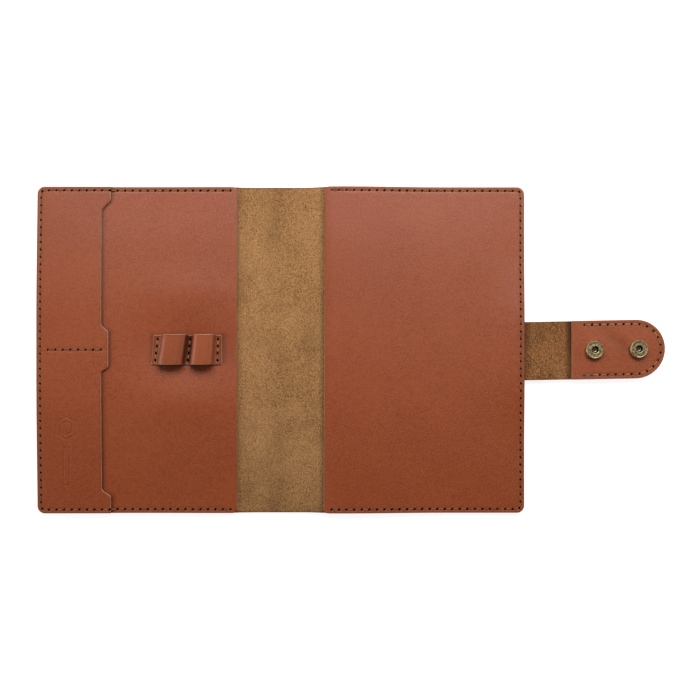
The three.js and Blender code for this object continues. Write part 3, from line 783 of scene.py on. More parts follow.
def card_pocket():
    x, y = pocket_grid()
    rows = y[:, 0]
    edge = pocket_edge(rows)
    slope = np.gradient(edge, rows)[:, None]
    to_free_edge = (edge[:, None] - x) / np.sqrt(1 + slope**2)
    inset = np.minimum(sewn_distance(x, y), to_free_edge)
    dent = mark_dent(x, y)
    divider = bell(y, DIVIDER_Y, GROOVE_HALF) * smoothstep(x, DIVIDER_X[0] - 1.5, DIVIDER_X[0])
    top = (pocket_top(x, y) - edge_drop(inset) + board_groove(x, y, FRONT_SEAM_END)
           - MARK_DEPTH * dent - DIVIDER_GROOVE * divider)
    shade = np.maximum(0.3 * fade(inset, 0.1, 1.2), 0.12 * dent)
    # Painted shade: darker towards the bottom and towards the top.
    shade = shade + lower_half_shade(y) + 0.1 * smoothstep(y, 52, 78)
    thing = sheet("card_pocket_leather", x, y, top, pocket_bottom(x, y), SKINS, lay_front, 7, shade,
                  rim_cells=2, burnish=sewn_edge(x, y))
    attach(thing, "front_board")
    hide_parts("card_pocket")


# ---- Pen loops ----

# Along the strip, from left to right: its end, each loop's two feet, and its other end, at its top and
# bottom edge. The loops lean over a little from one edge to the other.
LOOP_TOP_Y, LOOP_BOTTOM_Y = 10.1, -9.7
LOOP_FEET_TOP = (-85.8, -79.9, -62.6, -59.3, -44.3, -40.2)
LOOP_FEET_BOTTOM = (-87.4, -83.2, -65.6, -61.5, -45.7, -39.9)
LOOP_THICK = 1.3
LOOP_HEIGHTS = (8.4, 8.8)
LOOP_POWER = 2.8
LOOP_SEAMS = {"left": (-83.1, -84.7), "middle": (-61.3, -63.0), "right": (-42.7, -43.0)}
LOOP_HOLE_Y = (7.3, -6.9)
LOOP_BASE = FLAP_TOP + POCKET_RISE
LOOP_LAND_STEPS = 12              # across each flat stretch that is sewn down
LOOP_LAND_GAP = 0.35              # between a flat stretch's points and the loop beside it
LOOP_ARC_STEPS = 40
LOOP_RIM = 0.2                    # of the strip's cut ends, as seen from above
LOOP_SWELL, LOOP_BOW = 0.45, 0.5  # the loops bulge upwards in the middle and outwards at their top edge
LOOP_SEED = np.array([0, 500, 0])            # where on the hide the strip was cut
LOOP_UNDER = np.array([0, 0, 30])            # from there to the leather of its underside


def loop_arch(left, right, height):
    """Points of one loop between its feet, nearly square at the shoulders."""
    points = []
    for turn in np.linspace(math.pi, 0, LOOP_ARC_STEPS + 1)[1:-1]:
        across = math.copysign(abs(math.cos(turn)) ** (2 / LOOP_POWER), math.cos(turn))
        up = abs(math.sin(turn)) ** (2 / LOOP_POWER)
        x = (left + right) / 2 + (right - left) / 2 * across
        points.append((x, LOOP_THICK + (height - LOOP_THICK) * up))
    return points


def loop_land(start, stop):
    return [(x, LOOP_THICK) for x in np.linspace(start, stop, LOOP_LAND_STEPS)]


def loop_profile(feet):
    """Points along the strip's upper face, and the unit normals that point out of it."""
    end, left, right, next_left, next_right, far_end = feet
    points = [
        (end, LOOP_THICK),
        (end + LOOP_RIM, LOOP_THICK),
        *loop_land(end + 2 * LOOP_RIM, left - LOOP_LAND_GAP),
        *loop_arch(left, right, LOOP_HEIGHTS[0]),
        *loop_land(right + LOOP_LAND_GAP, next_left - LOOP_LAND_GAP),
        *loop_arch(next_left, next_right, LOOP_HEIGHTS[1]),
        *loop_land(next_right + LOOP_LAND_GAP, far_end - 2 * LOOP_RIM),
        (far_end - LOOP_RIM, LOOP_THICK),
        (far_end, LOOP_THICK),
    ]
    points = np.array(points)
    for _ in range(3):
        points[1:-1] = (points[:-2] + 2 * points[1:-1] + points[2:]) / 4
    tangent = np.gradient(points, axis=0)
    tangent /= np.linalg.norm(tangent, axis=1)[:, None]
    return points, np.stack([-tangent[:, 1], tangent[:, 0]], 1)


def loop_shade(x, lean, between, raised, pulled, inset):
    """Darker in the valley between the loops, on the left loop's wall beside it, on the left loop's top and
    where sewn down, all painted shade; and in a band just inside the edges.
    """
    wall = smoothstep(lean, 0.5, 0.95) * (x < between)
    folds = np.maximum(0.7 * bell(x, between, 2.6), 0.65 * wall) + 0.25 * pulled
    rubbed = 0.3 * smoothstep(inset, 0.3, 0.6) * fade(inset, 0.6, 1.5)
    return np.maximum(rubbed, folds) + 0.3 * (1 - raised) + 0.12 * raised * (x < between)


def loop_row(y):
    """The strip at one height: points of its upper and lower face, places on the flat strip, and shades."""
    share = (y - LOOP_BOTTOM_Y) / (LOOP_TOP_Y - LOOP_BOTTOM_Y)
    feet = [low + (high - low) * share for low, high in zip(LOOP_FEET_BOTTOM, LOOP_FEET_TOP)]
    points, normals = loop_profile(feet)
    x = points[:, 0]
    along = np.concatenate([[0], np.cumsum(np.linalg.norm(np.diff(points, axis=0), axis=1))])
    inset = np.minimum(np.minimum(along, along[-1] - along), min(y - LOOP_BOTTOM_Y, LOOP_TOP_Y - y))
    raised = smoothstep(points[:, 1], LOOP_THICK, 6)
    seam_share = (y - LOOP_HOLE_Y[1]) / (LOOP_HOLE_Y[0] - LOOP_HOLE_Y[1])
    seams = [low + (high - low) * seam_share for high, low in LOOP_SEAMS.values()]
    pulled = sum(bell(x, seam, GROOVE_HALF) for seam in seams) * (1 - raised) * smoothstep(inset, 0.4, 1.6)
    swell = LOOP_SWELL * raised * math.sin(math.pi * share)
    bow = LOOP_BOW * raised * (1 - 2 * share) * (share > 0.5)
    upper = points - normals * edge_drop(inset)[:, None]
    upper[:, 1] += swell - GROOVE_DEPTH * pulled
    lower = points - normals * LOOP_THICK
    lower[:, 1] = np.maximum(lower[:, 1], 0) + swell
    faces = [np.stack([face[:, 0], y - bow, face[:, 1]], 1) for face in (upper, lower)]
    flat = np.stack([along, np.full(len(x), y), 0 * along], 1)
    between = (feet[2] + feet[3]) / 2
    return *faces, flat, loop_shade(x, normals[:, 0], between, raised, pulled, inset)


def pen_loops():
    offsets = [0.0, 0.06, 0.18, 0.4, 0.9]
    rows = graded(LOOP_BOTTOM_Y, LOOP_TOP_Y, offsets, offsets, 0.9)
    upper, lower, flat, shade = (np.array(part) for part in zip(*map(loop_row, rows)))
    faces, slots = leather_faces(*shade.shape, rim=(3, 2, 1, 1))
    points = np.concatenate([upper.reshape(-1, 3), lower.reshape(-1, 3)]) + [0, 0, LOOP_BASE]
    places = flat.reshape(-1, 3) + LOOP_SEED
    thing = new_object("pen_loops_strip", lay_front(points), faces, LOOP_SKINS, slots,
                       np.concatenate([places, places + LOOP_UNDER]),
                       np.concatenate([shade.ravel(), np.zeros(shade.size)]))
    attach(thing, "front_board")
    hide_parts("pen_loops")


# ---- Strap ----

BRIDGE_MIDDLE_X = (STRAP_ROOT_X + STRAP_END_FOLD_X) / 2
STRAP_GRID = 1.3
TIP_TURNS = np.sin(np.linspace(-math.pi / 2, math.pi / 2, 61))
TIP_COLUMNS = np.unique(np.concatenate([np.linspace(0, 1, 20)[1:], 1 - np.array([0.006, 0.02, 0.05])]))


def strap_grid(start, end, half, tip):
    """A grid along the strap; a round tip takes its rows at even angles, and its columns follow it."""
    rows = graded(-half, half, ROUND_OFFSETS, ROUND_OFFSETS, STRAP_GRID)
    straight_to = end
    if tip:
        offsets = np.array(ROUND_OFFSETS[1:])
        rows = np.unique(np.concatenate([half * TIP_TURNS, half - offsets, offsets - half]))
        straight_to = end - half
    x = np.repeat(graded(start, straight_to, ROUND_OFFSETS, [0.0], STRAP_GRID)[None, :], len(rows), 0)
    if tip:
        reach = np.sqrt(np.maximum(half**2 - rows**2, 0))
        x = np.concatenate([x, straight_to + TIP_COLUMNS * reach[:, None]], 1)
    return x, np.repeat(rows[:, None], x.shape[1], 1)


def strap_inset(x, y, end, half, tip):
    """How far a point lies inside the strap's long sides and its round tip."""
    past = np.maximum(x - (end - half), 0) if tip else 0
    return half - np.hypot(past, y)


def strap_seam_distance(x, y):
    return strap_inset(x, y, STRAP_TIP_X, STRAP_HALF, True) - STRAP_SEAM_MARGIN


def strap_seam_reach(x):
    """1 where the strap's seam runs, 0 before it."""
    return smoothstep(x, STRAP_SEAM_X - 1.5, STRAP_SEAM_X + 0.5)


def strap_groove(x, y):
    return groove(strap_seam_distance(x, y), x, STRAP_GROOVE, STRAP_PITCH) * strap_seam_reach(x)


def strap_shade(x, y, inset):
    """Painted shade on the suede: darker beside the board and the lining, at its edges, and towards the top.
    """
    shade = 0.55 * fade(x, HALF_WIDTH, HALF_WIDTH + 5)
    shade = np.maximum(shade, 0.95 * smoothstep(x, LINING_LOW[0] - 6, LINING_LOW[0]))
    return np.maximum(shade, 0.2 * fade(inset, 0.2, 1.2)) + 0.24 * smoothstep(y, -14, 16)


def strap_leather(name, nodes, start, end, tip):
    """One length of the strap, from start to end, with a round tip if tip is true."""
    x, y = strap_grid(start, end, STRAP_HALF, tip)
    inset = strap_inset(x, y, end, STRAP_HALF, tip)
    bare = smoothstep(x, HALF_WIDTH - 2, HALF_WIDTH) * fade(x, LINING_LOW[0], LINING_LOW[0] + 1)
    sewn_in = (OUTER_TOP + strap_skive(x) - STRAP_FOLD_Z) * fade(x, HALF_WIDTH - 3, HALF_WIDTH + 4)
    top = STRAP_FOLD_Z + sewn_in - edge_drop(inset) * bare
    on_board = (OUTER_TOP - STRAP_BOTTOM) * fade(x, HALF_WIDTH - 3, HALF_WIDTH + 8)
    bottom = STRAP_BOTTOM + on_board + edge_drop(inset) - strap_groove(x, y)
    skins = [SUEDE_STRAP, LEATHER, BURNISHED_EDGE]
    thing = sheet(name, x, y, top, bottom, skins, lay_strap, 9, strap_shade(x, y, inset))
    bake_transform(thing)
    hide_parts(*nodes)


def lining_crease(x, y):
    """A soft fold that the lining has taken between the two snaps."""
    slope = -0.66
    offset = (y - 3.4 - slope * (x - 230)) / math.hypot(1, slope)
    return bell(offset, 0, 4) * bell(x, 228, 14)


def strap_lining():
    start, end, half = LINING_LOW[0], STRAP_TIP_X + 0.1, STRAP_HALF + 0.1
    x, y = strap_grid(start, end, half, True)
    inset = np.minimum(strap_inset(x, y, end, half, True), x - start)
    crease = lining_crease(x, y)
    puff = 0.15 * smoothstep(inset, 3.2, 16) - 0.3 * crease
    top = LINING_TOP - edge_drop(inset) + strap_groove(x, y) + puff
    bottom = np.full_like(x, STRAP_FOLD_Z - JOIN)
    beside_thread = bell(strap_seam_distance(x, y), 0, 0.9) * strap_seam_reach(x)
    at_edge = fade(inset, 0.1, 1.2) * smoothstep(x, start + 1, start + 4)
    # Painted shade in the crease and in the groove beside the thread; darker along the edges too.
    shade = 0.25 * at_edge + 0.28 * crease + 0.85 * beside_thread
    thing = sheet("strap_lining_leather", x, y, top, bottom, LINING_SKINS, lay_strap, 12, shade,
                  burnish=smoothstep(x, start + 0.5, start + 3))
    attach(thing, "strap_tip")
    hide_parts("strap_lining")


# ---- Sewing ----

STITCH_STEPS = 16
STITCH_SIDES = 12
PLY_RIDGE = 0.2                   # how far the two plies stand out of the thread
PAIR_SHIFT = 0.42                 # of each of two stitches that lie side by side
THREAD_HALF_WIDTH = 0.52
THREAD_HALF_HEIGHT = 0.34
THREAD_LIFT = -0.12               # of a stitch's centre line above the leather
STITCH_DIVE = 1.1                 # how far a stitch's ends go down into their holes
HOLE_LENGTH, HOLE_WIDTH, HOLE_DEPTH = 1.28, 0.85, 0.3
HOLE_SINK = 0.3
HOLE_SIDES, HOLE_RINGS = 10, 4


def stitch(start, end, up, turns, wide=1.0, sink=0.8):
    """One twisted two-ply stitch between two holes, which are points on the leather's surface. up is -1 on
    the underside, and sink is how far inside its holes the stitch begins and ends."""
    run = end - start
    ahead = run / np.linalg.norm(run[:2])
    start, end = start + ahead * sink, end - ahead * sink
    side = np.array([-ahead[1], ahead[0], 0])
    upwards = np.array([0, 0, up])
    t = np.linspace(0, 1, STITCH_STEPS)[:, None]
    rise = THREAD_LIFT - STITCH_DIVE * np.abs(2 * t - 1) ** 9
    centre = start + t * (end - start) + rise * upwards
    around = np.linspace(0, 2 * math.pi, STITCH_SIDES, endpoint=False)
    ply = np.cos(2 * (around - 2 * math.pi * turns * t))
    radius = 1 + PLY_RIDGE * ply
    ring = (centre[:, None, :]
            + (THREAD_HALF_WIDTH * wide * radius * np.cos(around))[..., None] * side
            + (THREAD_HALF_HEIGHT * radius * np.sin(around))[..., None] * upwards)
    index = np.arange(STITCH_STEPS * STITCH_SIDES).reshape(STITCH_STEPS, STITCH_SIDES)
    turned = np.roll(index, -1, 1)
    faces = np.stack([index[:-1], turned[:-1], turned[1:], index[1:]], -1).reshape(-1, 4).tolist()
    faces += [list(index[0][::-1]), list(index[-1])]
    if up < 0:
        faces = [face[::-1] for face in faces]
    # Painted shade where the stitch dives into its holes and between its plies.
    shade = 0.9 * np.abs(2 * t - 1) ** 5 + 0.5 * np.clip(-ply, 0, 1)
    return ring.reshape(-1, 3), faces, np.clip(shade, 0, 1).ravel()


def awl_hole(place, angle, up, length=HOLE_LENGTH, width=HOLE_WIDTH):
    """The dark slit that an awl leaves, as a small closed lens let into the leather; its dark is painted
    shade for the hole's shadowed inside.
    """
    along = np.array([math.cos(angle), math.sin(angle), 0]) * length
    across = np.array([-math.sin(angle), math.cos(angle), 0]) * width
    upwards = np.array([0, 0, up * HOLE_DEPTH])
    points = [place + upwards]
    for ring in range(1, HOLE_RINGS):
        fall = math.pi * ring / HOLE_RINGS
        for turn in np.linspace(0, 2 * math.pi, HOLE_SIDES, endpoint=False):
            outwards = along * math.cos(turn) + across * math.sin(turn)
            points.append(place + outwards * math.sin(fall) + upwards * math.cos(fall))
    points.append(place - upwards)
    last_ring, last = 1 + (HOLE_RINGS - 2) * HOLE_SIDES, len(points) - 1
    faces = []
    for side in range(HOLE_SIDES):
        after = (side + 1) % HOLE_SIDES
        faces.append([0, 1 + side, 1 + after])
        for ring in range(1, last_ring, HOLE_SIDES):
            faces.append([ring + side, ring + HOLE_SIDES + side, ring + HOLE_SIDES + after, ring + after])
        faces.append([last_ring + side, last, last_ring + after])
    if up < 0:
        faces = [face[::-1] for face in faces]
    return np.array(points), faces, np.zeros(len(points))


THREAD_FACE, HOLE_FACE, MELTED_FACE = 0, 1, 2
KNOT_RADIUS, KNOT_LIFT = 1.15, 0.05         # the melted ends of a thread


class Sewing:
    """Collects one thread's stitches and holes and makes them one object."""

    def __init__(self, name, node, material, slot, body, lay, turns=2.2, slant=58,
                 slit=(HOLE_LENGTH, HOLE_WIDTH), wide=1.0, sink=0.8):
        self.name, self.node, self.material, self.slot = name, node, material, slot
        self.body, self.lay = body, lay
        self.turns, self.wide, self.sink = turns, wide, sink
        self.slant, self.slit = math.radians(slant), slit
        self.points, self.faces, self.slots, self.shades = [], [], [], []

    def collect(self, part, slot):
        points, faces, shade = part
        start = sum(len(block) for block in self.points)
        self.points.append(points)
        self.faces += [[start + index for index in face] for face in faces]
        self.slots += [slot] * len(faces)
        self.shades.append(shade)

    def run(self, holes, surface, up=1, doubled=()):
        """Stitches between successive holes on one face; surface(x, y) is its height without the groove."""
        places = np.array([[x, y, surface(x, y)] for x, y in holes])
        last = len(places) - 1
        for index, (start, end) in enumerate(zip(places[:-1], places[1:])):
            if index in doubled or index - last in doubled:
                ahead = (end - start) / np.linalg.norm(end - start)
                side = np.array([-ahead[1], ahead[0], 0]) * PAIR_SHIFT
                for shift in (side, -side):
                    self.collect(stitch(start + shift, end + shift, up, self.turns, 0.8), THREAD_FACE)
            else:
                self.collect(stitch(start, end, up, self.turns, self.wide, self.sink), THREAD_FACE)
        for index, place in enumerate(places):
            ahead = places[min(index + 1, last)] - places[max(index - 1, 0)]
            angle = math.atan2(ahead[1], ahead[0]) + self.slant
            self.collect(awl_hole(place - [0, 0, up * HOLE_SINK], angle, up, *self.slit), HOLE_FACE)

    def make(self):
        points = np.concatenate(self.points)
        thing = new_object(self.name, self.lay(points), self.faces, [self.material, HOLE, MELTED], self.slots,
                           points, np.concatenate(self.shades))
        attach(thing, self.body)
        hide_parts(self.node)


def spaced(start, end, count):
    return np.linspace(start, end, count + 1).tolist()


SIDE_STITCHES = 43
EDGE_STITCHES = 25
DIVIDER_STITCHES = 7
LOOP_STITCHES = 3
STRAP_STITCHES = 23
CORNER_TUCK = 0.55                # a corner's hole lies this much further in than the seams


def board_holes(seam_end):
    """Holes along a board's three sewn sides, from the top of the spine round to its bottom."""
    side = math.copysign(1, seam_end)
    seam_x, seam_y = side * (HALF_WIDTH - SEAM_MARGIN), HALF_HEIGHT - SEAM_MARGIN
    corner_x, corner_y = seam_x - side * CORNER_TUCK, seam_y - CORNER_TUCK
    top = spaced((seam_end, seam_y), (seam_x, seam_y), EDGE_STITCHES)
    down = spaced((seam_x, seam_y), (seam_x, -seam_y), SIDE_STITCHES)
    bottom = spaced((seam_x, -seam_y), (seam_end, -seam_y), EDGE_STITCHES)
    return [*top[:-1], (corner_x, corner_y), *down[1:-1], (corner_x, -corner_y), *bottom[1:]]


def inner_top(x, y, side):
    """The highest leather at one of a board's holes: its flap, or on the front the card pocket."""
    on_pocket = side < 0 and x < pocket_edge(np.array([y]))[0]
    return pocket_top(x, y) if on_pocket else flap_bottom(x, y, side) + FLAP_THICK


def strap_holes():
    """Holes along the strap's seam: out along one side, round the tip and back."""
    half = STRAP_HALF - STRAP_SEAM_MARGIN
    centre = STRAP_TIP_X - STRAP_HALF
    straight = centre - STRAP_SEAM_X
    total = 2 * straight + math.pi * half
    holes = []
    for along in np.linspace(0, total, STRAP_STITCHES + 1):
        if along < straight:
            holes.append((STRAP_SEAM_X + along, half))
        elif along > total - straight:
            holes.append((STRAP_SEAM_X + total - along, -half))
        else:
            turn = math.pi / 2 - (along - straight) / half
            holes.append((centre + half * math.cos(turn), half * math.sin(turn)))
    return holes


def sew_board(side):
    """The first and last stitches, over the flap's edge, are doubled."""
    board, lay, seam_end = BOARDS[side]
    seam = Sewing(f"{board}_edge_stitches", f"thread_{board}_edge", THREAD_BROWN, "thread_brown",
                  f"{board}_board", lay)
    holes = board_holes(seam_end)
    seam.run(holes, lambda x, y: inner_top(x, y, side), doubled=(0, -1))
    seam.run(holes, lambda x, y: 0, up=-1, doubled=(0, -1))
    seam.make()


def sew_divider():
    seam = Sewing("card_divider_stitches", "thread_card_divider", THREAD_BROWN, "thread_brown", "front_board",
                  lay_front)
    seam.run(spaced((DIVIDER_X[0], DIVIDER_Y), (DIVIDER_X[1], DIVIDER_Y), DIVIDER_STITCHES), pocket_top)
    seam.make()


def sew_loops():
    for name, (top_x, bottom_x) in LOOP_SEAMS.items():
        seam = Sewing(f"pen_loop_stitches_{name}", f"thread_pen_loop_{name}", THREAD_TAN, "thread_brown",
                      "front_board", lay_front, slit=(1.1, 0.85))
        holes = spaced((top_x, LOOP_HOLE_Y[0]), (bottom_x, LOOP_HOLE_Y[1]), LOOP_STITCHES)
        seam.run(holes, lambda x, y: LOOP_BASE + LOOP_THICK)
        seam.make()


def sew_strap():
    """A thicker thread, whose last stitch is doubled and ends in two melted knots."""
    seam = Sewing("strap_stitches", "thread_strap_end", THREAD_AMBER, "thread_amber", "strap_tip", lay_strap,
                  turns=1.6, slant=80, slit=(1.4, 0.65), wide=1.2, sink=0.65)
    holes = strap_holes()
    seam.run(holes, lambda x, y: LINING_TOP, doubled=(-1,))
    seam.run(holes, lambda x, y: STRAP_BOTTOM, up=-1)
    for x, y in holes[-2:]:
        knot = np.array([x, y, LINING_TOP + KNOT_LIFT])
        seam.collect(awl_hole(knot, 0.3, 1, KNOT_RADIUS, 0.85 * KNOT_RADIUS), MELTED_FACE)
    seam.make()


# ---- Snap fasteners ----

TURN_STEPS = 96
DENT_SHADE = 5                    # darkening of a dent in the metal, for each millimetre of its depth


# A profile point's shade is high inside the bores and mouths and under the rims: painted shade there, with
# the patina of the hollows.
def lathe(profile, place, up=1.0, ripple=None):
    """A turned piece around a vertical axis through place, from (radius, height, shade) points."""
    angles = np.linspace(0, 2 * math.pi, TURN_STEPS, endpoint=False)
    profile = np.repeat(np.array(profile, float)[:, None], TURN_STEPS, 1)
    radius, height, shade = np.moveaxis(profile, -1, 0)
    if ripple is not None:
        lift = ripple(radius, angles)
        height = height + lift
        shade = np.clip(shade - DENT_SHADE * lift, 0, 1)
    points = np.stack([radius * np.cos(angles), radius * np.sin(angles), up * height], -1) + np.asarray(place)
    index = np.arange(radius.size).reshape(radius.shape)
    following = np.roll(index, -1, 0)
    faces = np.stack([index, np.roll(index, -1, 1), np.roll(following, -1, 1), following], -1).reshape(-1, 4)
    return points.reshape(-1, 3), faces if up > 0 else faces[:, ::-1], shade.ravel()


def arc_points(centre, radius, start, end, count):
    return [(centre[0] + radius * math.cos(turn), centre[1] + radius * math.sin(turn), 0.0)
            for turn in np.radians(np.linspace(start, end, count))]


def metal(node, kind, part, body, lay, material=BRASS):
    """The metal piece that stands for one node of the CAD."""
    points, faces, shade = part
    thing = new_object(f"{node}_{kind}", lay(points), faces, [material], np.zeros(len(faces)), points, shade,
                       sharp=32)
    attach(thing, body)
    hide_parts(node)


SOCKET_LOW, SOCKET_HIGH = box_mm("snap_socket_near")
SOCKET_HEIGHT = SOCKET_HIGH[2] - SOCKET_LOW[2]
SOCKET_RADIUS = (SOCKET_HIGH[0] - SOCKET_LOW[0]) / 2
MOUTH_RADIUS = 2.45
POST_RADIUS = 1.45
TICKS = 28
EYELET_LENGTH = 1.6               # of the barrel that stands out below the outer leather
BORE_FLOOR = LINING_TOP + 0.5
SPRING_INNER, SPRING_WIRE = 2.2, 0.27        # radii of the ring's inside and of its wire
SPRING_GAP = 0.35                 # half of the opening between the wire's ends, as an angle
SPRING_DEPTH = 0.8                # below the socket's top
SPRING_STEPS, WIRE_SIDES = 60, 8


def socket_ticks(radius, angle):
    """A ring of short engraved ticks in three groups."""
    ring = smoothstep(radius, 3.6, 3.85) * fade(radius, 4.75, 5.0)
    groups = smoothstep(np.cos(3 * angle + 0.6), -0.8, -0.65)
    return -0.1 * ring * groups * smoothstep(np.cos(TICKS * angle), -0.1, 0.5)


def socket_profile():
    """The socket from its base hole outwards, over its dome and down into the mouth."""
    top = SOCKET_HEIGHT
    base_z = LINING_TOP + 0.3 - SOCKET_LOW[2]
    return [
        (POST_RADIUS + 0.05, base_z, 0.8), (5.3, base_z, 0.4), (5.95, 0.35, 0.3),
        (SOCKET_RADIUS, 0.8, 0.15), (SOCKET_RADIUS, 0.6 * top, 0.1),
        (5.97, 0.75 * top, 0.1), (5.86, 0.87 * top, 0.0), (5.65, 0.95 * top, 0.0), (5.4, top, 0.1),
        (5.25, top - 0.03, 0.4),
        *[(radius, top - 0.06, 0.12) for radius in np.linspace(5.15, 3.1, 15)],
        *arc_points((MOUTH_RADIUS + 0.32, top - 0.32), 0.32, 80, 180, 7),
        (MOUTH_RADIUS, top - 0.45, 0.7), (4.4, top - 0.5, 1.0), (5.4, 0.6 * top, 1.0), (5.4, 0.55, 1.0),
        (POST_RADIUS + 0.05, 0.5, 0.8),
    ]


def cap_profile():
    """The cap's dome below the strap, and its post up through the strap and the socket's base."""
    height = STRAP_BOTTOM
    post_top = SOCKET_LOW[2] + 0.85
    return [
        *[(7.5 * math.sin(turn), height * 0.98 * (1 - math.cos(turn)) ** 1.15, 0.0)
          for turn in np.linspace(0.02, math.pi / 2, 16)],
        (7.35, height + JOIN, 0.3), (POST_RADIUS, height + JOIN, 0.8), (POST_RADIUS, post_top - 0.4, 0.8),
        *arc_points((POST_RADIUS + 0.05, post_top - 0.1), 0.45, -40, 200, 11),
        (1.0, post_top - 0.6, 0.5), (0.95, BORE_FLOOR, 0.9), (0.1, BORE_FLOOR, 0.5), (0.1, 1.6, 1.0),
    ]


def stud_profile():
    """The stud's foot and its waisted head, with heights that count down from the leather's underside."""
    return [
        (1.45, -JOIN, 0.5), (5.9, -JOIN, 0.3), (6.0, 0.25, 0.0), (5.85, 0.55, 0.0), (5.2, 0.78, 0.0),
        (2.9, 0.85, 0.2), (2.35, 0.95, 0.5), (2.0, 1.2, 0.4), (1.95, 1.75, 0.3), (2.1, 1.98, 0.1),
        (2.33, 2.2, 0.0), (2.36, 2.4, 0.0), (2.2, 2.75, 0.0), (1.85, 2.95, 0.0), (1.2, 2.98, 0.2),
        (0.95, 2.8, 0.7), (1.0, 2.5, 1.0), (1.55, 2.3, 1.0), (1.55, 0.8, 1.0),
    ]


def eyelet_profile():
    """The eyelet's barrel through the outer leather and its flange on top, hidden under the flap."""
    bottom = -OUTER_TOP - EYELET_LENGTH
    return [
        (0.9, bottom, 0.8), (1.5, bottom, 0.5), (1.5, bottom + 0.35, 0.5), (1.3, bottom + 0.4, 0.5),
        (1.3, 0.0, 0.5), (4.7, 0.0, 0.3), (5.0, 0.15, 0.0), (4.8, 0.34, 0.0), (2.0, 0.4, 0.0),
        (1.2, 0.3, 0.2), (0.9, 0.05, 0.6),
    ]


def ring_spring(place):
    """The open wire ring that grips the stud."""
    turns = np.linspace(SPRING_GAP, 2 * math.pi - SPRING_GAP, SPRING_STEPS)[:, None]
    around = np.linspace(0, 2 * math.pi, WIRE_SIDES, endpoint=False)
    radius = SPRING_INNER + SPRING_WIRE + SPRING_WIRE * np.cos(around)
    height = SPRING_WIRE * np.sin(around) + 0 * turns
    points = np.stack([radius * np.cos(turns), radius * np.sin(turns), height], -1)
    index = np.arange(height.size).reshape(height.shape)
    turned = np.roll(index, -1, 1)
    faces = np.stack([index[:-1], index[1:], turned[1:], turned[:-1]], -1).reshape(-1, 4).tolist()
    faces += [list(index[0]), list(index[-1][::-1])]
    # Painted shade: the ring lies in the socket's dark mouth.
    return points.reshape(-1, 3) + np.asarray(place), faces, np.full(height.size, 0.75)


def rigid_front(drift):
    """A stud and its eyelet lie on the front board's plane, where its socket comes down on it."""
    def lay(points):
        x, z = tilt_front(points[:, 0], points[:, 2], 1.0)
        return np.stack([x, points[:, 1] + drift, z], 1)
    return lay


def rigid_strap(drift):
    return lambda points: points + [0, drift, 0]


def snaps():
    for snap, (x, _, _) in SOCKETS.items():
        drift = float(strap_drift(x))
        on_strap, on_front = rigid_strap(drift), rigid_front(drift)
        socket = lathe(socket_profile(), (x, 0, SOCKET_LOW[2]), ripple=socket_ticks)
        cap = lathe(cap_profile(), (x, 0, 0))
        spring = ring_spring((x, 0, SOCKET_HIGH[2] - SPRING_DEPTH))
        stud = lathe(stud_profile(), (STUDS[snap], 0, 0), up=-1.0)
        eyelet = lathe(eyelet_profile(), (STUDS[snap], 0, OUTER_TOP))
        metal(f"snap_socket_{snap}", "turned", socket, "strap_tip", on_strap)
        metal(f"snap_cap_{snap}", "turned", cap, "strap_tip", on_strap)
        metal(f"snap_spring_{snap}", "wire", spring, "strap_tip", on_strap, SPRING_BRASS)
        metal(f"snap_stud_{snap}", "turned", stud, "front_board", on_front)
        metal(f"snap_eyelet_{snap}", "turned", eyelet, "front_board", on_front)


for side in BOARDS:
    outer_leather(side)
    flap(side)
card_pocket()
pen_loops()
strap_leather("strap_inner", ("strap_anchor", "strap_bridge"), ANCHOR_X, BRIDGE_MIDDLE_X, False)
strap_leather("strap_outer", ("strap_end",), BRIDGE_MIDDLE_X, STRAP_TIP_X, True)
strap_lining()
for side in BOARDS:
    sew_board(side)
sew_divider()
sew_loops()
sew_strap()
snaps()


# ---- Stage: floor, light and camera ----

def glowing(thing, name, grey, rough, strength):
    """Names a piece of the stage and gives it a pale, glowing material."""
    thing.name = name
    thing.data.materials.append(Nodes(f"pale_{name}").finish(
        (grey, grey, grey, 1), rough, Specular_IOR_Level=0.0, Emission_Color=(1, 1, 1, 1),
        Emission_Strength=strength))


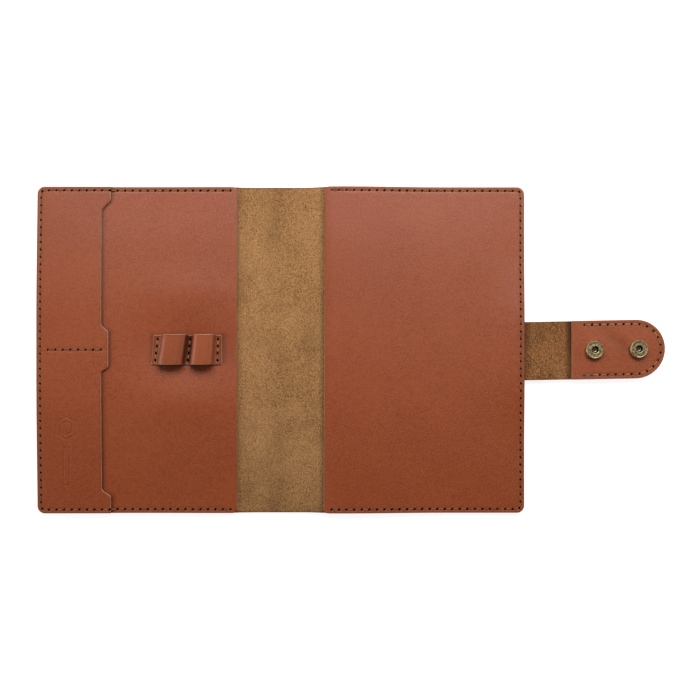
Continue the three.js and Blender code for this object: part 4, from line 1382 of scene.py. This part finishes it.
def floor():
    """A softly glowing floor, so that the shadows on it stay faint."""
    bpy.ops.mesh.primitive_plane_add(size=20, location=(0, 0, -0.0002))
    glowing(bpy.context.object, "floor", 0.5, 0.9, 0.85)


def backdrop():
    """A pale dome far behind everything, which lights nothing."""
    bpy.ops.mesh.primitive_uv_sphere_add(segments=64, ring_count=32, radius=10)
    dome = bpy.context.object
    glowing(dome, "backdrop", 0, 1.0, 0.91)
    for ray in ("diffuse", "glossy", "transmission", "volume_scatter", "shadow"):
        setattr(dome, f"visible_{ray}", False)


def softbox(name, place, width, depth, power):
    data = bpy.data.lights.new(name, "AREA")
    data.shape = "RECTANGLE"
    data.size = width
    data.size_y = depth
    data.energy = power
    light = bpy.data.objects.new(name, data)
    light.location = place
    light.rotation_euler = (-light.location).to_track_quat("-Z", "Y").to_euler()
    bpy.context.scene.collection.objects.link(light)


CAMERA_HEIGHT = 0.66              # in metres, as everything on the stage
VIEW_CENTRE_X = 0.0463
VIEW_WIDTH = 0.4720
VIEW_PLANE = 0.005                # the height at which the picture shows VIEW_WIDTH
SENSOR_WIDTH = 36
WORLD_STRENGTH = 0.06


def camera():
    data = bpy.data.cameras.new("camera")
    data.sensor_width = SENSOR_WIDTH
    data.lens = SENSOR_WIDTH * (CAMERA_HEIGHT - VIEW_PLANE) / VIEW_WIDTH
    thing = bpy.data.objects.new("camera", data)
    thing.location = (VIEW_CENTRE_X, 0, CAMERA_HEIGHT)
    bpy.context.scene.collection.objects.link(thing)
    bpy.context.scene.camera = thing


def world():
    thing = bpy.data.worlds.new("studio")
    thing.use_nodes = True
    background = thing.node_tree.nodes["Background"]
    background.inputs["Color"].default_value = (1, 1, 1, 1)
    background.inputs["Strength"].default_value = WORLD_STRENGTH
    bpy.context.scene.world = thing


floor()
softbox("key", (0.06, 0.52, 0.62), width=1.0, depth=0.4, power=8.8)
softbox("left", (-1.0, -0.1, 0.36), width=0.9, depth=0.3, power=4.4)
softbox("right", (1.1, 0.1, 0.36), width=0.9, depth=0.12, power=2.2)
backdrop()
world()
camera()
bpy.context.scene.view_settings.view_transform = "Standard"
